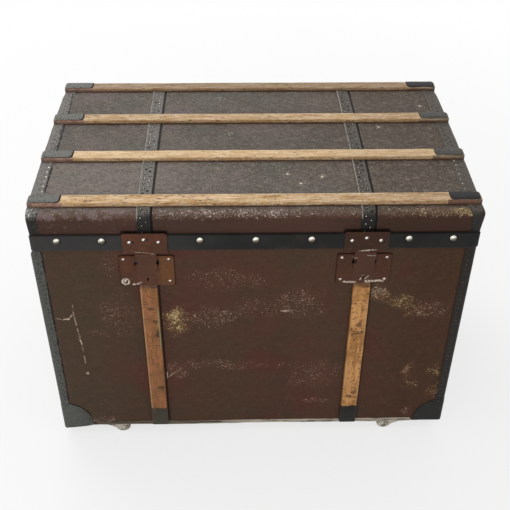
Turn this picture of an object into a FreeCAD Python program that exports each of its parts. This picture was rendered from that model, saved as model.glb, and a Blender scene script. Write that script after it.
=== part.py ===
import FreeCAD, Part
import math
import os

from FreeCAD import Vector as V

# A slatted travelling trunk with a low crowned lid, in millimetres.
# X runs left to right, -Y is the front, +Z is up. The model is built with its plan centred on the
# canvas-covered body and the floor at z = 0, and is moved at the end so that the origin is the
# bottom centre of everything.

# ---------------------------------------------------------------- driving dimensions: the carcass
WIDTH = 860.0                # body over its canvas, left to right
DEPTH = 545.0                # body over its canvas, front to back
BODY_HEIGHT = 513.0          # carcass underside to the rim
ROLLER_DROP = 33.0           # floor to the carcass underside
BOARD = 12.0                 # wall boards
BOTTOM_BOARD = 12.0
CANVAS = 1.2                 # painted canvas glued on the boards
LINING = 1.0                 # cloth-backed paper inside
CORNER_RADIUS = 6.0          # plan rounding of the carcass over its canvas
TIN = 0.6                    # sheet under the bottom, turned up round the edge
TIN_EDGE = 5.0

# ---------------------------------------------------------------- the lid
LID_HEIGHT = 76.0            # rim to the top of the shoulders
LID_CROWN = 4.0              # rise of the top between its shoulders
SHOULDER_RADIUS = 20.0
LID_BOARD = 12.0
LID_GAP = 0.4                # lid to rim
LID_OPEN_DEG = 100.0

# ---------------------------------------------------------------- wooden slats
LID_SLAT_WIDTH = 31.0
LID_SLAT_THICK = 9.0
LID_SLAT_OVERHANG = 4.0      # past the canvas at each end
LID_SLAT_OUTER_Y = 237.0
LID_SLAT_INNER_Y = 78.5
SLAT_EDGE = 3.0              # rounding of the slats' edges
BODY_SLAT_X = 215.0
BODY_SLAT_WIDTH = 36.0
BODY_SLAT_THICK = 8.0
BODY_SLAT_FOOT = 3.0         # slat foot above the carcass underside
BODY_SLAT_BEVEL = 6.0        # slope at the slat's top
BODY_SLAT_TOE = 2.0          # thickness left at the very top
BATTEN_THICK = 8.0
BATTEN_SET_BACK = 14.0       # batten end to the body's face

# ---------------------------------------------------------------- sheet-metal trim
TRIM = 0.8                   # sheet of caps, bands and bindings
BODY_BINDING_WIDTH = 17.0
LID_BINDING_WIDTH = 22.0
CORNER_PATCH_RADIUS = 68.0
CORNER_PATCH_THICK = 1.0
FOOT_CAP_HEIGHT = 55.0
SLAT_CAP_LENGTH = 65.0
SLAT_CAP_TAB = 14.0          # tab below the shoulder's top, on the lid's end
BAND_X = 214.5
BAND_WIDTH = 26.0

# ---------------------------------------------------------------- valance
VALANCE_THICK = 5.5
VALANCE_DROP = 10.0          # below the rim
VALANCE_RISE = 26.0          # above the rim
VALANCE_CLEARANCE = 3.0      # canvas to the lip's inside
NAIL_X = (0.0, 108.0, 297.0, 383.0)
NAIL_END_Y = (0.0, 190.0)
NAIL_BELOW_TOP = 12.0        # nails below the valance's top edge
NAIL_RADIUS = 7.5
NAIL_RISE = 4.5

# ---------------------------------------------------------------- locks and hasps
LOCK_X = 215.0
LOCK_WIDTH = 107.0
LOCK_HEIGHT = 73.0
LOCK_THICK = 3.0
LOCK_BELOW_RIM = 25.0
LOCK_CORNER = 6.0
LOCK_NAIL_INSET = 9.0
LOCK_NAIL_RADIUS = 4.0
LOCK_NAIL_RISE = 1.8
LOCK_CASE_WIDTH = 54.0
LOCK_CASE_WALL = 1.2
LOCK_CASE_DEPTH = 12.0       # canvas face to the case's back
LOCK_CASE_BELOW_PLATE_TOP = 2.0
KEYHOLE_ABOVE_PLATE = 16.0   # keyhole over the plate's bottom edge
KEYHOLE_RADIUS = 2.4
KEYHOLE_SLOT = 2.2
KEYHOLE_DROP = 7.0
SIDE_SLOT_WIDTH = 4.0        # small slots in the plate, at the hasp's sides
SIDE_SLOT_HEIGHT = 9.0
SIDE_SLOT_DROP = 19.0        # below the plate's top edge
SIDE_SLOT_ROUND = 1.8        # rounding of a slot's ends

HASP_PLATE_WIDTH = 87.0
HASP_PLATE_THICK = 2.0
HASP_PLATE_RISE = 6.0        # plate's top above the valance
HASP_PLATE_CORNER = 5.0
HASP_AXIS_DROP = 9.0         # knuckle axis below the valance's lip
HASP_AXIS_OUT = 1.5          # knuckle axis in front of the valance
HASP_WIDTH = 42.0
HASP_LENGTH = 47.0
HASP_THICK = 2.0
HASP_GAP = 1.5               # hasp to lock plate
HASP_CORNER = 8.0
KNUCKLE_RADIUS = 3.2
HASP_KNUCKLE = 23.0          # length of the hasp's own knuckle
HASP_PIN_RADIUS = 1.6
RIVET_RADIUS = 4.5
RIVET_RISE = 2.2
RIVET_SPACING = 28.0
RIVET_STEP = 6.0             # middle rivet above its neighbours
RIVET_BELOW_TOP = 21.0       # outer rivets below the plate's top edge

STAPLE_DROP = 30.0           # staple's centre below the hasp's axis
STAPLE_WIDTH = 10.0
STAPLE_WALL = 1.5
BOLT_THICK = 5.0             # front to back
BOLT_HEIGHT = 6.0
BOLT_LENGTH = 16.0
BOLT_REST_GAP = 1.0          # drawn bolt to the staple's channel
BOLT_CLEARANCE = 0.9         # bolt in the staple's eye
BOLT_INSET = 0.4             # bolt behind the lock plate
GUIDE_GAP = 0.3
GUIDE_WALL = 1.5
STAPLE_SIDE_GAP = 2.0        # staple in its channel
STAPLE_SWING_GAP = 4.0       # room for the staple's lower corner as it swings out
STAPLE_BACK_GAP = 2.0
TALON_WIDTH = 5.0

# ---------------------------------------------------------------- lid hinges, on the back
HINGE_X = 215.0
HINGE_WIDTH = 62.0
HINGE_LEAF_HEIGHT = 52.0     # rim to the leaf's far edge
HINGE_LEAF_THICK = 2.0
HINGE_KNUCKLE_RADIUS = 5.5
HINGE_PIN_RADIUS = 3.0
HINGE_KNUCKLES = 5
HINGE_GAP = 0.4              # between knuckles
HINGE_PIN_HEAD = 1.5
HINGE_PIN_HEAD_RADIUS = 4.0

# ---------------------------------------------------------------- lid stays, inside the ends
STAY_RADIUS = 150.0          # pivot and stud from the lid's axis
STAY_PIVOT_DEG = 10.0        # pivot above the rim, seen from the lid's axis
STAY_STUD_DEG = -20.0        # stud below the rim
STAY_WIDTH = 16.0
STAY_THICK = 2.0
STAY_PIN_RADIUS = 3.0
STAY_HEAD_RADIUS = 7.0
STAY_HEAD_THICK = 2.0
STAY_FLANGE_RADIUS = 14.0
STAY_FLANGE_THICK = 1.5
STAY_GAP = 0.4               # arm to flange and to head
STUD_GAP = 0.3               # stud in the slot

# ---------------------------------------------------------------- end handles
HANDLE_HEIGHT = 330.0        # pivot above the carcass underside
HANDLE_SPAN = 140.0          # between the bracket centres
HANDLE_DROP = 56.0           # pivot to the grip's centre
HANDLE_OUT = 14.0            # pivot from the end's canvas
HANDLE_ROD_RADIUS = 3.6
HANDLE_BEND = 9.0
HANDLE_SIDE_GAP = 1.0        # bracket's boss to the rod's bend
GRIP_RADIUS = 10.0
GRIP_EDGE = 2.5
GRIP_END_GAP = 3.0           # grip's end to the rod's bend
BRACKET_WIDTH = 38.0
BRACKET_HEIGHT = 46.0
BRACKET_THICK = 1.6
BRACKET_CORNER = 7.5
BOSS_WIDTH = 12.0
BOSS_RADIUS = 8.0

# ---------------------------------------------------------------- rollers
ROLLER_PATCH_GAP = 4.0       # corner patch to the roller's plate
ROLLER_RADIUS = 17.0
ROLLER_WIDTH = 18.0
ROLLER_EDGE = 1.5            # rounding of the tread
ROLLER_SET_BACK = 2.0        # outer cheek behind the body's face
CHEEK = 2.0
CHEEK_RADIUS = 9.5
CHEEK_GAP = 0.5
ROLLER_PLATE = 1.6
ROLLER_PLATE_OUT = 54.0      # plate outboard of the axle
ROLLER_PLATE_IN = 21.0
ROLLER_PLATE_MARGIN = 8.0    # plate past the inner cheek
ROLLER_PLATE_CORNER = 4.0
CHEEK_OUT = 46.0             # cheek's foot outboard of the axle
CHEEK_IN = 17.0
AXLE_RADIUS = 3.0
AXLE_END = 1.2               # trunnion past the cheek
ROLLER_POCKET_GAP = 1.5

RUNNING = 0.05               # radial clearance of every turning pin
LEAST_RADIUS = 1.0           # where a profile is set in by more than its rounding
ROUND_SHARE = 0.9            # largest rounding, as a share of the wall it eats into
OVERLAP = 1.0                # cutters and joined pieces run this far past a face
NEAR = 0.01                  # two places this close are the same

# ---------------------------------------------------------------- levels and faces
BASE = ROLLER_DROP
RIM = BASE + BODY_HEIGHT
LID_BOTTOM = RIM + LID_GAP
LID_TOP = RIM + LID_HEIGHT
END = WIDTH / 2
FACE = DEPTH / 2
VALANCE_BOTTOM = RIM - VALANCE_DROP
VALANCE_TOP = RIM + VALANCE_RISE
VALANCE_FACE = FACE + VALANCE_THICK
LOCK_TOP = RIM - LOCK_BELOW_RIM
LOCK_BOTTOM = LOCK_TOP - LOCK_HEIGHT
HASP_AXIS_Y = -(VALANCE_FACE + HASP_AXIS_OUT)
HASP_AXIS_Z = VALANCE_BOTTOM - HASP_AXIS_DROP
STAPLE_Z = HASP_AXIS_Z - STAPLE_DROP
HINGE_AXIS_Y = FACE + HINGE_KNUCKLE_RADIUS
ROLLER_X = END - CORNER_PATCH_RADIUS - ROLLER_PATCH_GAP - ROLLER_PLATE_OUT
AXIS_X, AXIS_Y, AXIS_Z = V(1, 0, 0), V(0, 1, 0), V(0, 0, 1)


# ---------------------------------------------------------------- helpers
def box(x0, x1, y0, y1, z0, z1):
    return Part.makeBox(x1 - x0, y1 - y0, z1 - z0, V(x0, y0, z0))


def rod(x, y, z, direction, radius, length):
    return Part.makeCylinder(radius, length, V(x, y, z), direction)


def prism(points, direction):
    return Part.Face(Part.makePolygon(points + points[:1])).extrude(direction)


def fused(shapes):
    return shapes[0].multiFuse(shapes[1:]).removeSplitter()


def mirrored(shape):
    return shape.mirror(V(0, 0, 0), AXIS_X)


def pair(shape):
    """The shape and its left-right mirror image."""
    return [shape, mirrored(shape)]


def turned_back(shape):
    """A front piece, turned round to the back."""
    copy = shape.copy()
    copy.rotate(V(0, 0, 0), AXIS_Z, 180)
    return copy


def rounded(shape, radius, chosen):
    """Rounds the edges whose middle point satisfies chosen."""
    edges = [e for e in shape.Edges if chosen(e.CenterOfMass, e.tangentAt(e.FirstParameter))]
    return shape.makeFillet(radius, edges) if edges and radius > 0 else shape


def along(tangent, axis):
    return abs(abs(tangent.dot(axis)) - 1) < 1e-6


def dome(x, y, z, direction, radius, rise):
    """A domed nail head that lies on the face through (x, y, z)."""
    sphere_radius = (radius**2 + rise**2) / (2 * rise)
    centre = V(x, y, z) - direction * (sphere_radius - rise)
    ball = Part.makeSphere(sphere_radius, centre, direction)
    return ball.common(rod(x, y, z, direction, radius + OVERLAP, rise + OVERLAP))


def plan_block(inset, z0, z1):
    """The carcass's plan, set in by inset, between two levels."""
    block = box(-END + inset, END - inset, -FACE + inset, FACE - inset, z0, z1)
    return rounded(block, CORNER_RADIUS - inset, lambda middle, t: along(t, AXIS_Z))


def lid_prism(inset, x0, x1):
    """The lid's cross-section, set in by inset, between two ends."""
    half, top = FACE - inset, LID_TOP - inset
    radius = max(SHOULDER_RADIUS - inset, LEAST_RADIUS)
    corner = radius * (1 - math.sin(math.pi / 4))
    front_low, front_high = V(x0, -half, LID_BOTTOM), V(x0, -half, top - radius)
    front_top, back_top = V(x0, radius - half, top), V(x0, half - radius, top)
    back_low, back_high = V(x0, half, LID_BOTTOM), V(x0, half, top - radius)
    edges = [
        Part.LineSegment(front_low, front_high).toShape(),
        Part.Arc(front_high, V(x0, corner - half, top - corner), front_top).toShape(),
        Part.Arc(front_top, V(x0, 0, top + LID_CROWN), back_top).toShape(),
        Part.Arc(back_top, V(x0, half - corner, top - corner), back_high).toShape(),
        Part.LineSegment(back_high, back_low).toShape(),
        Part.LineSegment(back_low, front_low).toShape(),
    ]
    return Part.Face(Part.Wire(edges)).extrude(V(x1 - x0, 0, 0))


def lid_block(inset):
    """The whole lid, set in by inset, as a solid that is flat underneath."""
    above = LID_TOP + LID_CROWN + SHOULDER_RADIUS
    prism_part = lid_prism(inset, -END + inset, END - inset)
    return prism_part.common(plan_block(inset, LID_BOTTOM, above))


def crown_height(y):
    """Height of the canvas on the lid's top, at a distance y from its middle."""
    half_chord = FACE - SHOULDER_RADIUS
    crown_radius = (half_chord**2 + LID_CROWN**2) / (2 * LID_CROWN)
    return LID_TOP + LID_CROWN - crown_radius + math.sqrt(crown_radius**2 - y**2)


def slat_rounding(thickness):
    """Rounding of a slat's edges, limited by its thickness."""
    return min(SLAT_EDGE, thickness / 3)


# ---------------------------------------------------------------- carcass
def lock_recess():
    """Room for the right-hand lock case and for the staple's way up to the rim."""
    half = LOCK_CASE_WIDTH / 2
    case = box(LOCK_X - half, LOCK_X + half, -FACE, -FACE + LOCK_CASE_DEPTH,
               LOCK_BOTTOM + LOCK_NAIL_INSET - LOCK_CASE_WALL, LOCK_TOP - LOCK_CASE_BELOW_PLATE_TOP)
    way = STAPLE_WIDTH / 2 + STAPLE_SIDE_GAP
    channel = box(LOCK_X - way, LOCK_X + way, -FACE, staple_back() + STAPLE_BACK_GAP,
                  STAPLE_Z, RIM)
    return case.fuse(channel)


def staple_back():
    """Y of the staple's inner end: the bolt, its clearance and the staple's wall."""
    return -FACE + BOLT_INSET + BOLT_THICK + BOLT_CLEARANCE + STAPLE_WALL


def roller_y():
    """Y of a front roller's middle."""
    return -FACE + ROLLER_SET_BACK + CHEEK + CHEEK_GAP + ROLLER_WIDTH / 2


def roller_pockets():
    """Holes for the rollers in the bottom sheet and, part way, in the bottom board."""
    reach, side = ROLLER_RADIUS + ROLLER_POCKET_GAP, ROLLER_WIDTH / 2 + CHEEK_GAP
    top = max(2 * ROLLER_RADIUS, BASE) + ROLLER_POCKET_GAP
    pocket = box(ROLLER_X - reach, ROLLER_X + reach, roller_y() - side, roller_y() + side,
                 BASE - TIN, top)
    fronts = pair(pocket)
    return fronts + [turned_back(p) for p in fronts]


def carcass():
    inner = CANVAS + BOARD
    floor = BASE + BOTTOM_BOARD
    walls = plan_block(CANVAS, floor, RIM)
    recesses = Part.makeCompound(pair(lock_recess()))
    front = walls.common(box(-END, END, -FACE, -FACE + inner, floor, RIM)).cut(recesses)
    back = walls.common(box(-END, END, FACE - inner, FACE, floor, RIM))
    right = box(END - inner, END - CANVAS, -FACE + inner, FACE - inner, floor, RIM)
    bottom = plan_block(CANVAS, BASE, floor)
    canvas = plan_block(0, BASE, RIM).cut(plan_block(CANVAS, BASE, RIM)).cut(recesses)
    lined = box(-END + inner, END - inner, -FACE + inner, FACE - inner, floor, RIM)
    room = inner + LINING
    hollow = box(-END + room, END - room, -FACE + room, FACE - room, floor + LINING, RIM)
    for pocket in roller_pockets():
        bottom = bottom.cut(pocket)
    return {
        "front_board": [front],
        "back_board": [back],
        "left_end_board": [mirrored(right)],
        "right_end_board": [right],
        "bottom_board": [bottom],
        "body_canvas": [canvas],
        "body_lining": [lined.cut(hollow)],
    }


def corner_balls():
    return [
        Part.makeSphere(CORNER_PATCH_RADIUS, V(x, y, BASE))
        for x in (-END, END)
        for y in (-FACE, FACE)
    ]


def body_trim():
    under = BASE - TIN
    high = BASE + CORNER_PATCH_RADIUS + OVERLAP
    shell = plan_block(-CORNER_PATCH_THICK, under - CORNER_PATCH_THICK, high)
    shell = shell.cut(plan_block(0, under, high))
    patches = [shell.common(ball) for ball in corner_balls()]

    strip = plan_block(-TRIM, BASE, RIM).cut(plan_block(0, BASE, RIM))
    leg = BODY_BINDING_WIDTH
    bindings = []
    for ball in corner_balls():
        x, y = ball.BoundBox.Center.x, ball.BoundBox.Center.y
        reach = box(x - leg, x + leg, y - leg, y + leg, BASE, RIM)
        bindings.append(strip.common(reach).cut(ball))

    sheet = plan_block(-TIN, under, BASE + TIN_EDGE).cut(plan_block(0, BASE, BASE + TIN_EDGE))
    crossing = roller_pockets() + patches + body_slats(FOOT_CAP_HEIGHT) + foot_caps()
    for piece in crossing:
        sheet = sheet.cut(piece)
    return {"bottom_corners": patches, "corner_bindings": bindings, "bottom_sheet": [sheet]}


# ---------------------------------------------------------------- slats of the body
def body_slat(height):
    """The right-hand front slat, from its foot up, with a bevelled top."""
    low, high = BASE + BODY_SLAT_FOOT, BASE + BODY_SLAT_FOOT + height
    face = -FACE - BODY_SLAT_THICK
    x0 = BODY_SLAT_X - BODY_SLAT_WIDTH / 2
    slope_end = -FACE - BODY_SLAT_TOE
    outline = [V(x0, -FACE, low), V(x0, face, low), V(x0, face, high - BODY_SLAT_BEVEL),
               V(x0, slope_end, high), V(x0, -FACE, high)]
    slat = prism(outline, V(BODY_SLAT_WIDTH, 0, 0))
    radius = slat_rounding(BODY_SLAT_THICK)
    return rounded(slat, radius, lambda m, t: along(t, AXIS_Z) and abs(m.y - face) < NEAR)


def front_slat_height():
    return LOCK_BOTTOM - BASE - BODY_SLAT_FOOT


def back_slat_height():
    return RIM - HINGE_LEAF_HEIGHT - BASE - BODY_SLAT_FOOT


def body_slats(height):
    fronts = pair(body_slat(height))
    return fronts + [turned_back(s) for s in fronts]


def foot_caps():
    """Sheet caps round the slats' feet."""
    low, high = BASE + BODY_SLAT_FOOT - TRIM, BASE + FOOT_CAP_HEIGHT
    half = BODY_SLAT_WIDTH / 2 + TRIM
    face = -FACE - BODY_SLAT_THICK - TRIM
    block = box(BODY_SLAT_X - half, BODY_SLAT_X + half, face, -FACE, low, high)
    radius = slat_rounding(BODY_SLAT_THICK) + TRIM
    block = rounded(block, radius, lambda m, t: along(t, AXIS_Z) and abs(m.y - face) < NEAR)
    fronts = pair(block.cut(body_slat(front_slat_height())))
    return fronts + [turned_back(c) for c in fronts]


def slats():
    fronts = pair(body_slat(front_slat_height()))
    backs = [turned_back(s) for s in pair(body_slat(back_slat_height()))]
    half = BODY_SLAT_WIDTH / 2
    end = FACE - BATTEN_SET_BACK
    batten = box(BODY_SLAT_X - half, BODY_SLAT_X + half, -end, end,
                 BASE - TIN - BATTEN_THICK, BASE - TIN)
    batten = rounded(batten, SLAT_EDGE,
                     lambda m, t: along(t, AXIS_Y) and m.z < BASE - TIN - BATTEN_THICK / 2)
    return {
        "front_slat_right": [fronts[0]],
        "front_slat_left": [fronts[1]],
        "back_slats": backs,
        "bottom_battens": pair(batten),
        "slat_foot_caps": foot_caps(),
    }


# ---------------------------------------------------------------- lid
def lid_shell():
    inner = CANVAS + LID_BOARD
    split = LID_TOP - SHOULDER_RADIUS
    wood = lid_block(CANVAS)
    hollow = lid_prism(inner, -END, END)
    boards = wood.cut(hollow)
    above = LID_TOP + LID_CROWN + OVERLAP
    top = boards.common(box(-END, END, -FACE, FACE, split, above))
    front = boards.common(box(-END, END, -FACE, 0, LID_BOTTOM, split))
    back = boards.common(box(-END, END, 0, FACE, LID_BOTTOM, split))
    right = lid_prism(inner, END - inner, END - CANVAS)
    return {
        "lid_top_panel": [top],
        "lid_front_rail": [front],
        "lid_back_rail": [back],
        "lid_right_end": [right],
        "lid_left_end": [mirrored(right)],
        "lid_canvas": [lid_block(0).cut(lid_block(CANVAS))],
        "lid_lining": [lid_prism(inner, -END + inner, END - inner).cut(
            lid_prism(inner + LINING, -END + inner + LINING, END - inner - LINING))],
    }


def lid_bands():
    """Sheet straps over the lid, from the valance to above the hinge."""
    half = BAND_WIDTH / 2
    x0, x1 = BAND_X - half, BAND_X + half
    band = lid_prism(-TRIM, x0, x1).cut(lid_prism(0, x0, x1))
    above = LID_TOP + LID_CROWN + SHOULDER_RADIUS
    kept = box(x0, x1, -FACE - TRIM, 0, VALANCE_TOP, above)
    kept = kept.fuse(box(x0, x1, 0, FACE + TRIM, RIM + HINGE_LEAF_HEIGHT, above))
    return pair(band.common(kept))


def lid_bindings():
    """Sheet angles round the edges of the lid's two ends."""
    above = LID_TOP + LID_CROWN + SHOULDER_RADIUS
    shell = lid_block(-TRIM).cut(lid_block(0))
    shell = shell.cut(lid_prism(LID_BINDING_WIDTH, -END - OVERLAP, END + OVERLAP))
    reach = FACE + OVERLAP
    zone = box(END - LID_BINDING_WIDTH, END + OVERLAP, -reach, reach, VALANCE_TOP, above)
    return pair(shell.common(zone))


def lid_slat_blank(y, grow, length_grow):
    """A lid slat before its underside is fitted to the lid."""
    half = LID_SLAT_WIDTH / 2 + grow
    end = END + LID_SLAT_OVERHANG + length_grow
    top = crown_height(y) + LID_SLAT_THICK + grow
    blank = box(-end, end, y - half, y + half, LID_TOP - OVERLAP, top)
    radius = slat_rounding(LID_SLAT_THICK) + grow
    return rounded(blank, radius, lambda m, t: along(t, AXIS_X) and abs(m.z - top) < NEAR)


def lid_slat_rows():
    return [-LID_SLAT_OUTER_Y, -LID_SLAT_INNER_Y, LID_SLAT_INNER_Y, LID_SLAT_OUTER_Y]


def lid_slats_and_caps():
    under = Part.makeCompound(lid_bands() + lid_bindings())
    lid = lid_block(0)
    parts, caps = {}, []
    end = END + LID_SLAT_OVERHANG
    for number, y in enumerate(lid_slat_rows(), 1):
        slat = lid_slat_blank(y, 0, 0).cut(lid).cut(under)
        parts["lid_slat_%d" % number] = [slat]
        top = crown_height(y) + LID_SLAT_THICK
        radius = slat_rounding(LID_SLAT_THICK)
        half = LID_SLAT_WIDTH / 2 + TRIM
        skin = lid_slat_blank(y, TRIM, TRIM).cut(lid_slat_blank(y, 0, 0))
        lip = skin.common(box(end - SLAT_CAP_LENGTH, end + TRIM, y - half, y + half,
                              top - radius, top + TRIM))
        tab = box(end, end + TRIM, y - half + radius, y + half - radius,
                  LID_TOP - SLAT_CAP_TAB, top)
        caps += pair(fused([lip, tab]))
    parts["slat_caps"] = caps
    return parts


def valance():
    """Three strips round the front and the ends, with a lip below the rim."""
    zs = (VALANCE_BOTTOM, VALANCE_TOP)
    front = box(-END - VALANCE_THICK, END + VALANCE_THICK, -VALANCE_FACE, -FACE, *zs)
    front = rounded(front, min(CORNER_RADIUS, ROUND_SHARE * VALANCE_THICK),
                    lambda m, t: along(t, AXIS_Z) and m.y < -FACE - VALANCE_THICK / 2)
    right = box(END, END + VALANCE_THICK, -FACE, FACE, *zs)
    relief = box(-END - VALANCE_CLEARANCE, END + VALANCE_CLEARANCE,
                 -FACE - VALANCE_CLEARANCE, FACE, VALANCE_BOTTOM, LID_BOTTOM)
    right = right.cut(relief)
    return {"lid_valance": [front.cut(relief), right, mirrored(right)]}


def valance_nails():
    z = VALANCE_TOP - NAIL_BELOW_TOP
    heads = []
    for x in NAIL_X:
        head = dome(x, -VALANCE_FACE, z, -AXIS_Y, NAIL_RADIUS, NAIL_RISE)
        heads += pair(head) if x else [head]
    for y in NAIL_END_Y:
        for place in {y, -y}:
            heads += pair(dome(END + VALANCE_THICK, place, z, AXIS_X, NAIL_RADIUS, NAIL_RISE))
    return {"valance_nails": heads}


# ---------------------------------------------------------------- hasps and locks
def hasp_plate():
    """The right-hand hasp plate with its two knuckles."""
    y0, y1 = -VALANCE_FACE - HASP_PLATE_THICK, -VALANCE_FACE
    half, top = HASP_PLATE_WIDTH / 2, VALANCE_TOP + HASP_PLATE_RISE
    low = HASP_AXIS_Z + KNUCKLE_RADIUS + HINGE_GAP
    plate = box(LOCK_X - half, LOCK_X + half, y0, y1, low, top)
    plate = rounded(plate, HASP_PLATE_CORNER, lambda m, t: along(t, AXIS_Y) and m.z > RIM)
    pieces = [plate]
    inner = HASP_KNUCKLE / 2 + HINGE_GAP
    length = HASP_WIDTH / 2 - inner
    for x0 in (LOCK_X - HASP_WIDTH / 2, LOCK_X + inner):
        pieces.append(rod(x0, HASP_AXIS_Y, HASP_AXIS_Z, AXIS_X, KNUCKLE_RADIUS, length))
        pieces.append(box(x0, x0 + length, y0, y1, HASP_AXIS_Z, low + OVERLAP))
    return fused(pieces).cut(hasp_pin(0))


def hasp_pin(grow):
    half = HASP_WIDTH / 2
    return rod(LOCK_X - half, HASP_AXIS_Y, HASP_AXIS_Z, AXIS_X, HASP_PIN_RADIUS + grow, 2 * half)


def hasp():
    """The right-hand hasp: leaf, knuckle, and a staple behind it with an eye for the bolt."""
    back = -FACE - LOCK_THICK - HASP_GAP
    half, low = HASP_WIDTH / 2, HASP_AXIS_Z - HASP_LENGTH
    high = HASP_AXIS_Z - KNUCKLE_RADIUS - HINGE_GAP
    leaf = box(LOCK_X - half, LOCK_X + half, back - HASP_THICK, back, low, high)
    leaf = rounded(leaf, HASP_CORNER, lambda m, t: along(t, AXIS_Y) and m.z < STAPLE_Z)
    start = LOCK_X - HASP_KNUCKLE / 2
    neck = box(start, start + HASP_KNUCKLE, back - HASP_THICK, back, high - OVERLAP, HASP_AXIS_Z)
    barrel = rod(start, HASP_AXIS_Y, HASP_AXIS_Z, AXIS_X, KNUCKLE_RADIUS, HASP_KNUCKLE)
    eye_half = BOLT_HEIGHT / 2 + BOLT_CLEARANCE
    side = STAPLE_WIDTH / 2
    staple = box(LOCK_X - side, LOCK_X + side, back, staple_back(),
                 STAPLE_Z - eye_half - STAPLE_WALL, STAPLE_Z + eye_half + STAPLE_WALL)
    eye = box(LOCK_X - side, LOCK_X + side, -FACE + BOLT_INSET - BOLT_CLEARANCE,
              staple_back() - STAPLE_WALL, STAPLE_Z - eye_half, STAPLE_Z + eye_half)
    return fused([leaf, neck, barrel, staple]).cut(eye).cut(hasp_pin(RUNNING))


def hasp_rivets():
    top = VALANCE_TOP + HASP_PLATE_RISE
    face = -VALANCE_FACE - HASP_PLATE_THICK
    heads = []
    for step in (-1, 0, 1):
        z = top - RIVET_BELOW_TOP + (RIVET_STEP if step == 0 else 0)
        heads += pair(dome(LOCK_X + step * RIVET_SPACING, face, z, -AXIS_Y, RIVET_RADIUS, RIVET_RISE))
    return heads


def lock_plate():
    half = LOCK_WIDTH / 2
    plate = box(LOCK_X - half, LOCK_X + half, -FACE - LOCK_THICK, -FACE, LOCK_BOTTOM, LOCK_TOP)
    plate = rounded(plate, LOCK_CORNER, lambda m, t: along(t, AXIS_Y))
    way = STAPLE_WIDTH / 2 + STAPLE_SIDE_GAP
    staple_low = STAPLE_Z - BOLT_HEIGHT / 2 - BOLT_CLEARANCE - STAPLE_WALL
    notch = box(LOCK_X - way, LOCK_X + way, -FACE - LOCK_THICK, -FACE,
                staple_low - STAPLE_SWING_GAP, LOCK_TOP)
    key_z = LOCK_BOTTOM + KEYHOLE_ABOVE_PLATE
    y = -FACE - LOCK_THICK
    keyhole = rod(LOCK_X, y, key_z, AXIS_Y, KEYHOLE_RADIUS, LOCK_THICK)
    slot = box(LOCK_X - KEYHOLE_SLOT / 2, LOCK_X + KEYHOLE_SLOT / 2, y, -FACE,
               key_z - KEYHOLE_DROP, key_z)
    plate = plate.cut(notch).cut(keyhole).cut(slot)
    slot_z = LOCK_TOP - SIDE_SLOT_DROP
    for side in (-1, 1):
        x = LOCK_X + side * (HASP_WIDTH + SIDE_SLOT_WIDTH / 2) / 2
        hole = box(x - SIDE_SLOT_WIDTH / 2, x + SIDE_SLOT_WIDTH / 2, y, -FACE,
                   slot_z - SIDE_SLOT_HEIGHT / 2, slot_z + SIDE_SLOT_HEIGHT / 2)
        ends = min(SIDE_SLOT_ROUND, ROUND_SHARE * SIDE_SLOT_WIDTH / 2)
        hole = rounded(hole, ends, lambda m, t: along(t, AXIS_Y))
        plate = plate.cut(hole)
    return plate


def lock_case():
    """A sheet case behind the right-hand plate, with two guides for the bolt."""
    half, wall = LOCK_CASE_WIDTH / 2, LOCK_CASE_WALL
    low = LOCK_BOTTOM + LOCK_NAIL_INSET - wall
    high = LOCK_TOP - LOCK_CASE_BELOW_PLATE_TOP
    back = -FACE + LOCK_CASE_DEPTH
    case = box(LOCK_X - half, LOCK_X + half, -FACE, back, low, high)
    case = case.cut(box(LOCK_X - half + wall, LOCK_X + half - wall, -FACE, back - wall,
                        low + wall, high - wall))
    way = STAPLE_WIDTH / 2 + STAPLE_SIDE_GAP
    case = case.cut(box(LOCK_X - way, LOCK_X + way, -FACE, staple_back() + STAPLE_BACK_GAP,
                        high - wall, high))
    gap = BOLT_HEIGHT / 2 + GUIDE_GAP
    over = box(LOCK_X + way, LOCK_X + half - wall, -FACE, back - wall,
               STAPLE_Z + gap, STAPLE_Z + gap + GUIDE_WALL)
    under = box(talon_start() + TALON_WIDTH + GUIDE_GAP, LOCK_X + half, -FACE, back - wall,
                STAPLE_Z - gap - GUIDE_WALL, STAPLE_Z - gap)
    return fused([case, over, under])


def bolt_start():
    return LOCK_X + STAPLE_WIDTH / 2 + STAPLE_SIDE_GAP + BOLT_REST_GAP


def talon_start():
    return bolt_start() + BOLT_LENGTH - TALON_WIDTH


def lock_bolt():
    """The right-hand lock's bolt, drawn back, with a talon down towards the key."""
    x0, y0 = bolt_start(), -FACE + BOLT_INSET
    bar = box(x0, x0 + BOLT_LENGTH, y0, y0 + BOLT_THICK,
              STAPLE_Z - BOLT_HEIGHT / 2, STAPLE_Z + BOLT_HEIGHT / 2)
    key_z = LOCK_BOTTOM + KEYHOLE_ABOVE_PLATE
    talon = box(talon_start(), talon_start() + TALON_WIDTH, y0, y0 + BOLT_THICK,
                key_z + KEYHOLE_RADIUS, STAPLE_Z)
    return fused([bar, talon])


def lock_nails():
    half = LOCK_WIDTH / 2 - LOCK_NAIL_INSET
    heads = []
    for side in (-1, 1):
        for z in (LOCK_BOTTOM + LOCK_NAIL_INSET, LOCK_TOP - LOCK_NAIL_INSET):
            heads += pair(dome(LOCK_X + side * half, -FACE - LOCK_THICK, z, -AXIS_Y,
                               LOCK_NAIL_RADIUS, LOCK_NAIL_RISE))
    return heads


def locks():
    parts = {
        "hasp_plates": pair(hasp_plate()),
        "hasp_pins": pair(hasp_pin(0)),
        "hasp_rivets": hasp_rivets(),
        "lock_nails": lock_nails(),
        "lock_cases": pair(lock_case()),
    }
    for name, shape in (("hasp", hasp()), ("lock_plate", lock_plate()), ("lock_bolt", lock_bolt())):
        parts[name + "_right"] = [shape]
        parts[name + "_left"] = [mirrored(shape)]
    return parts


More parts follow.
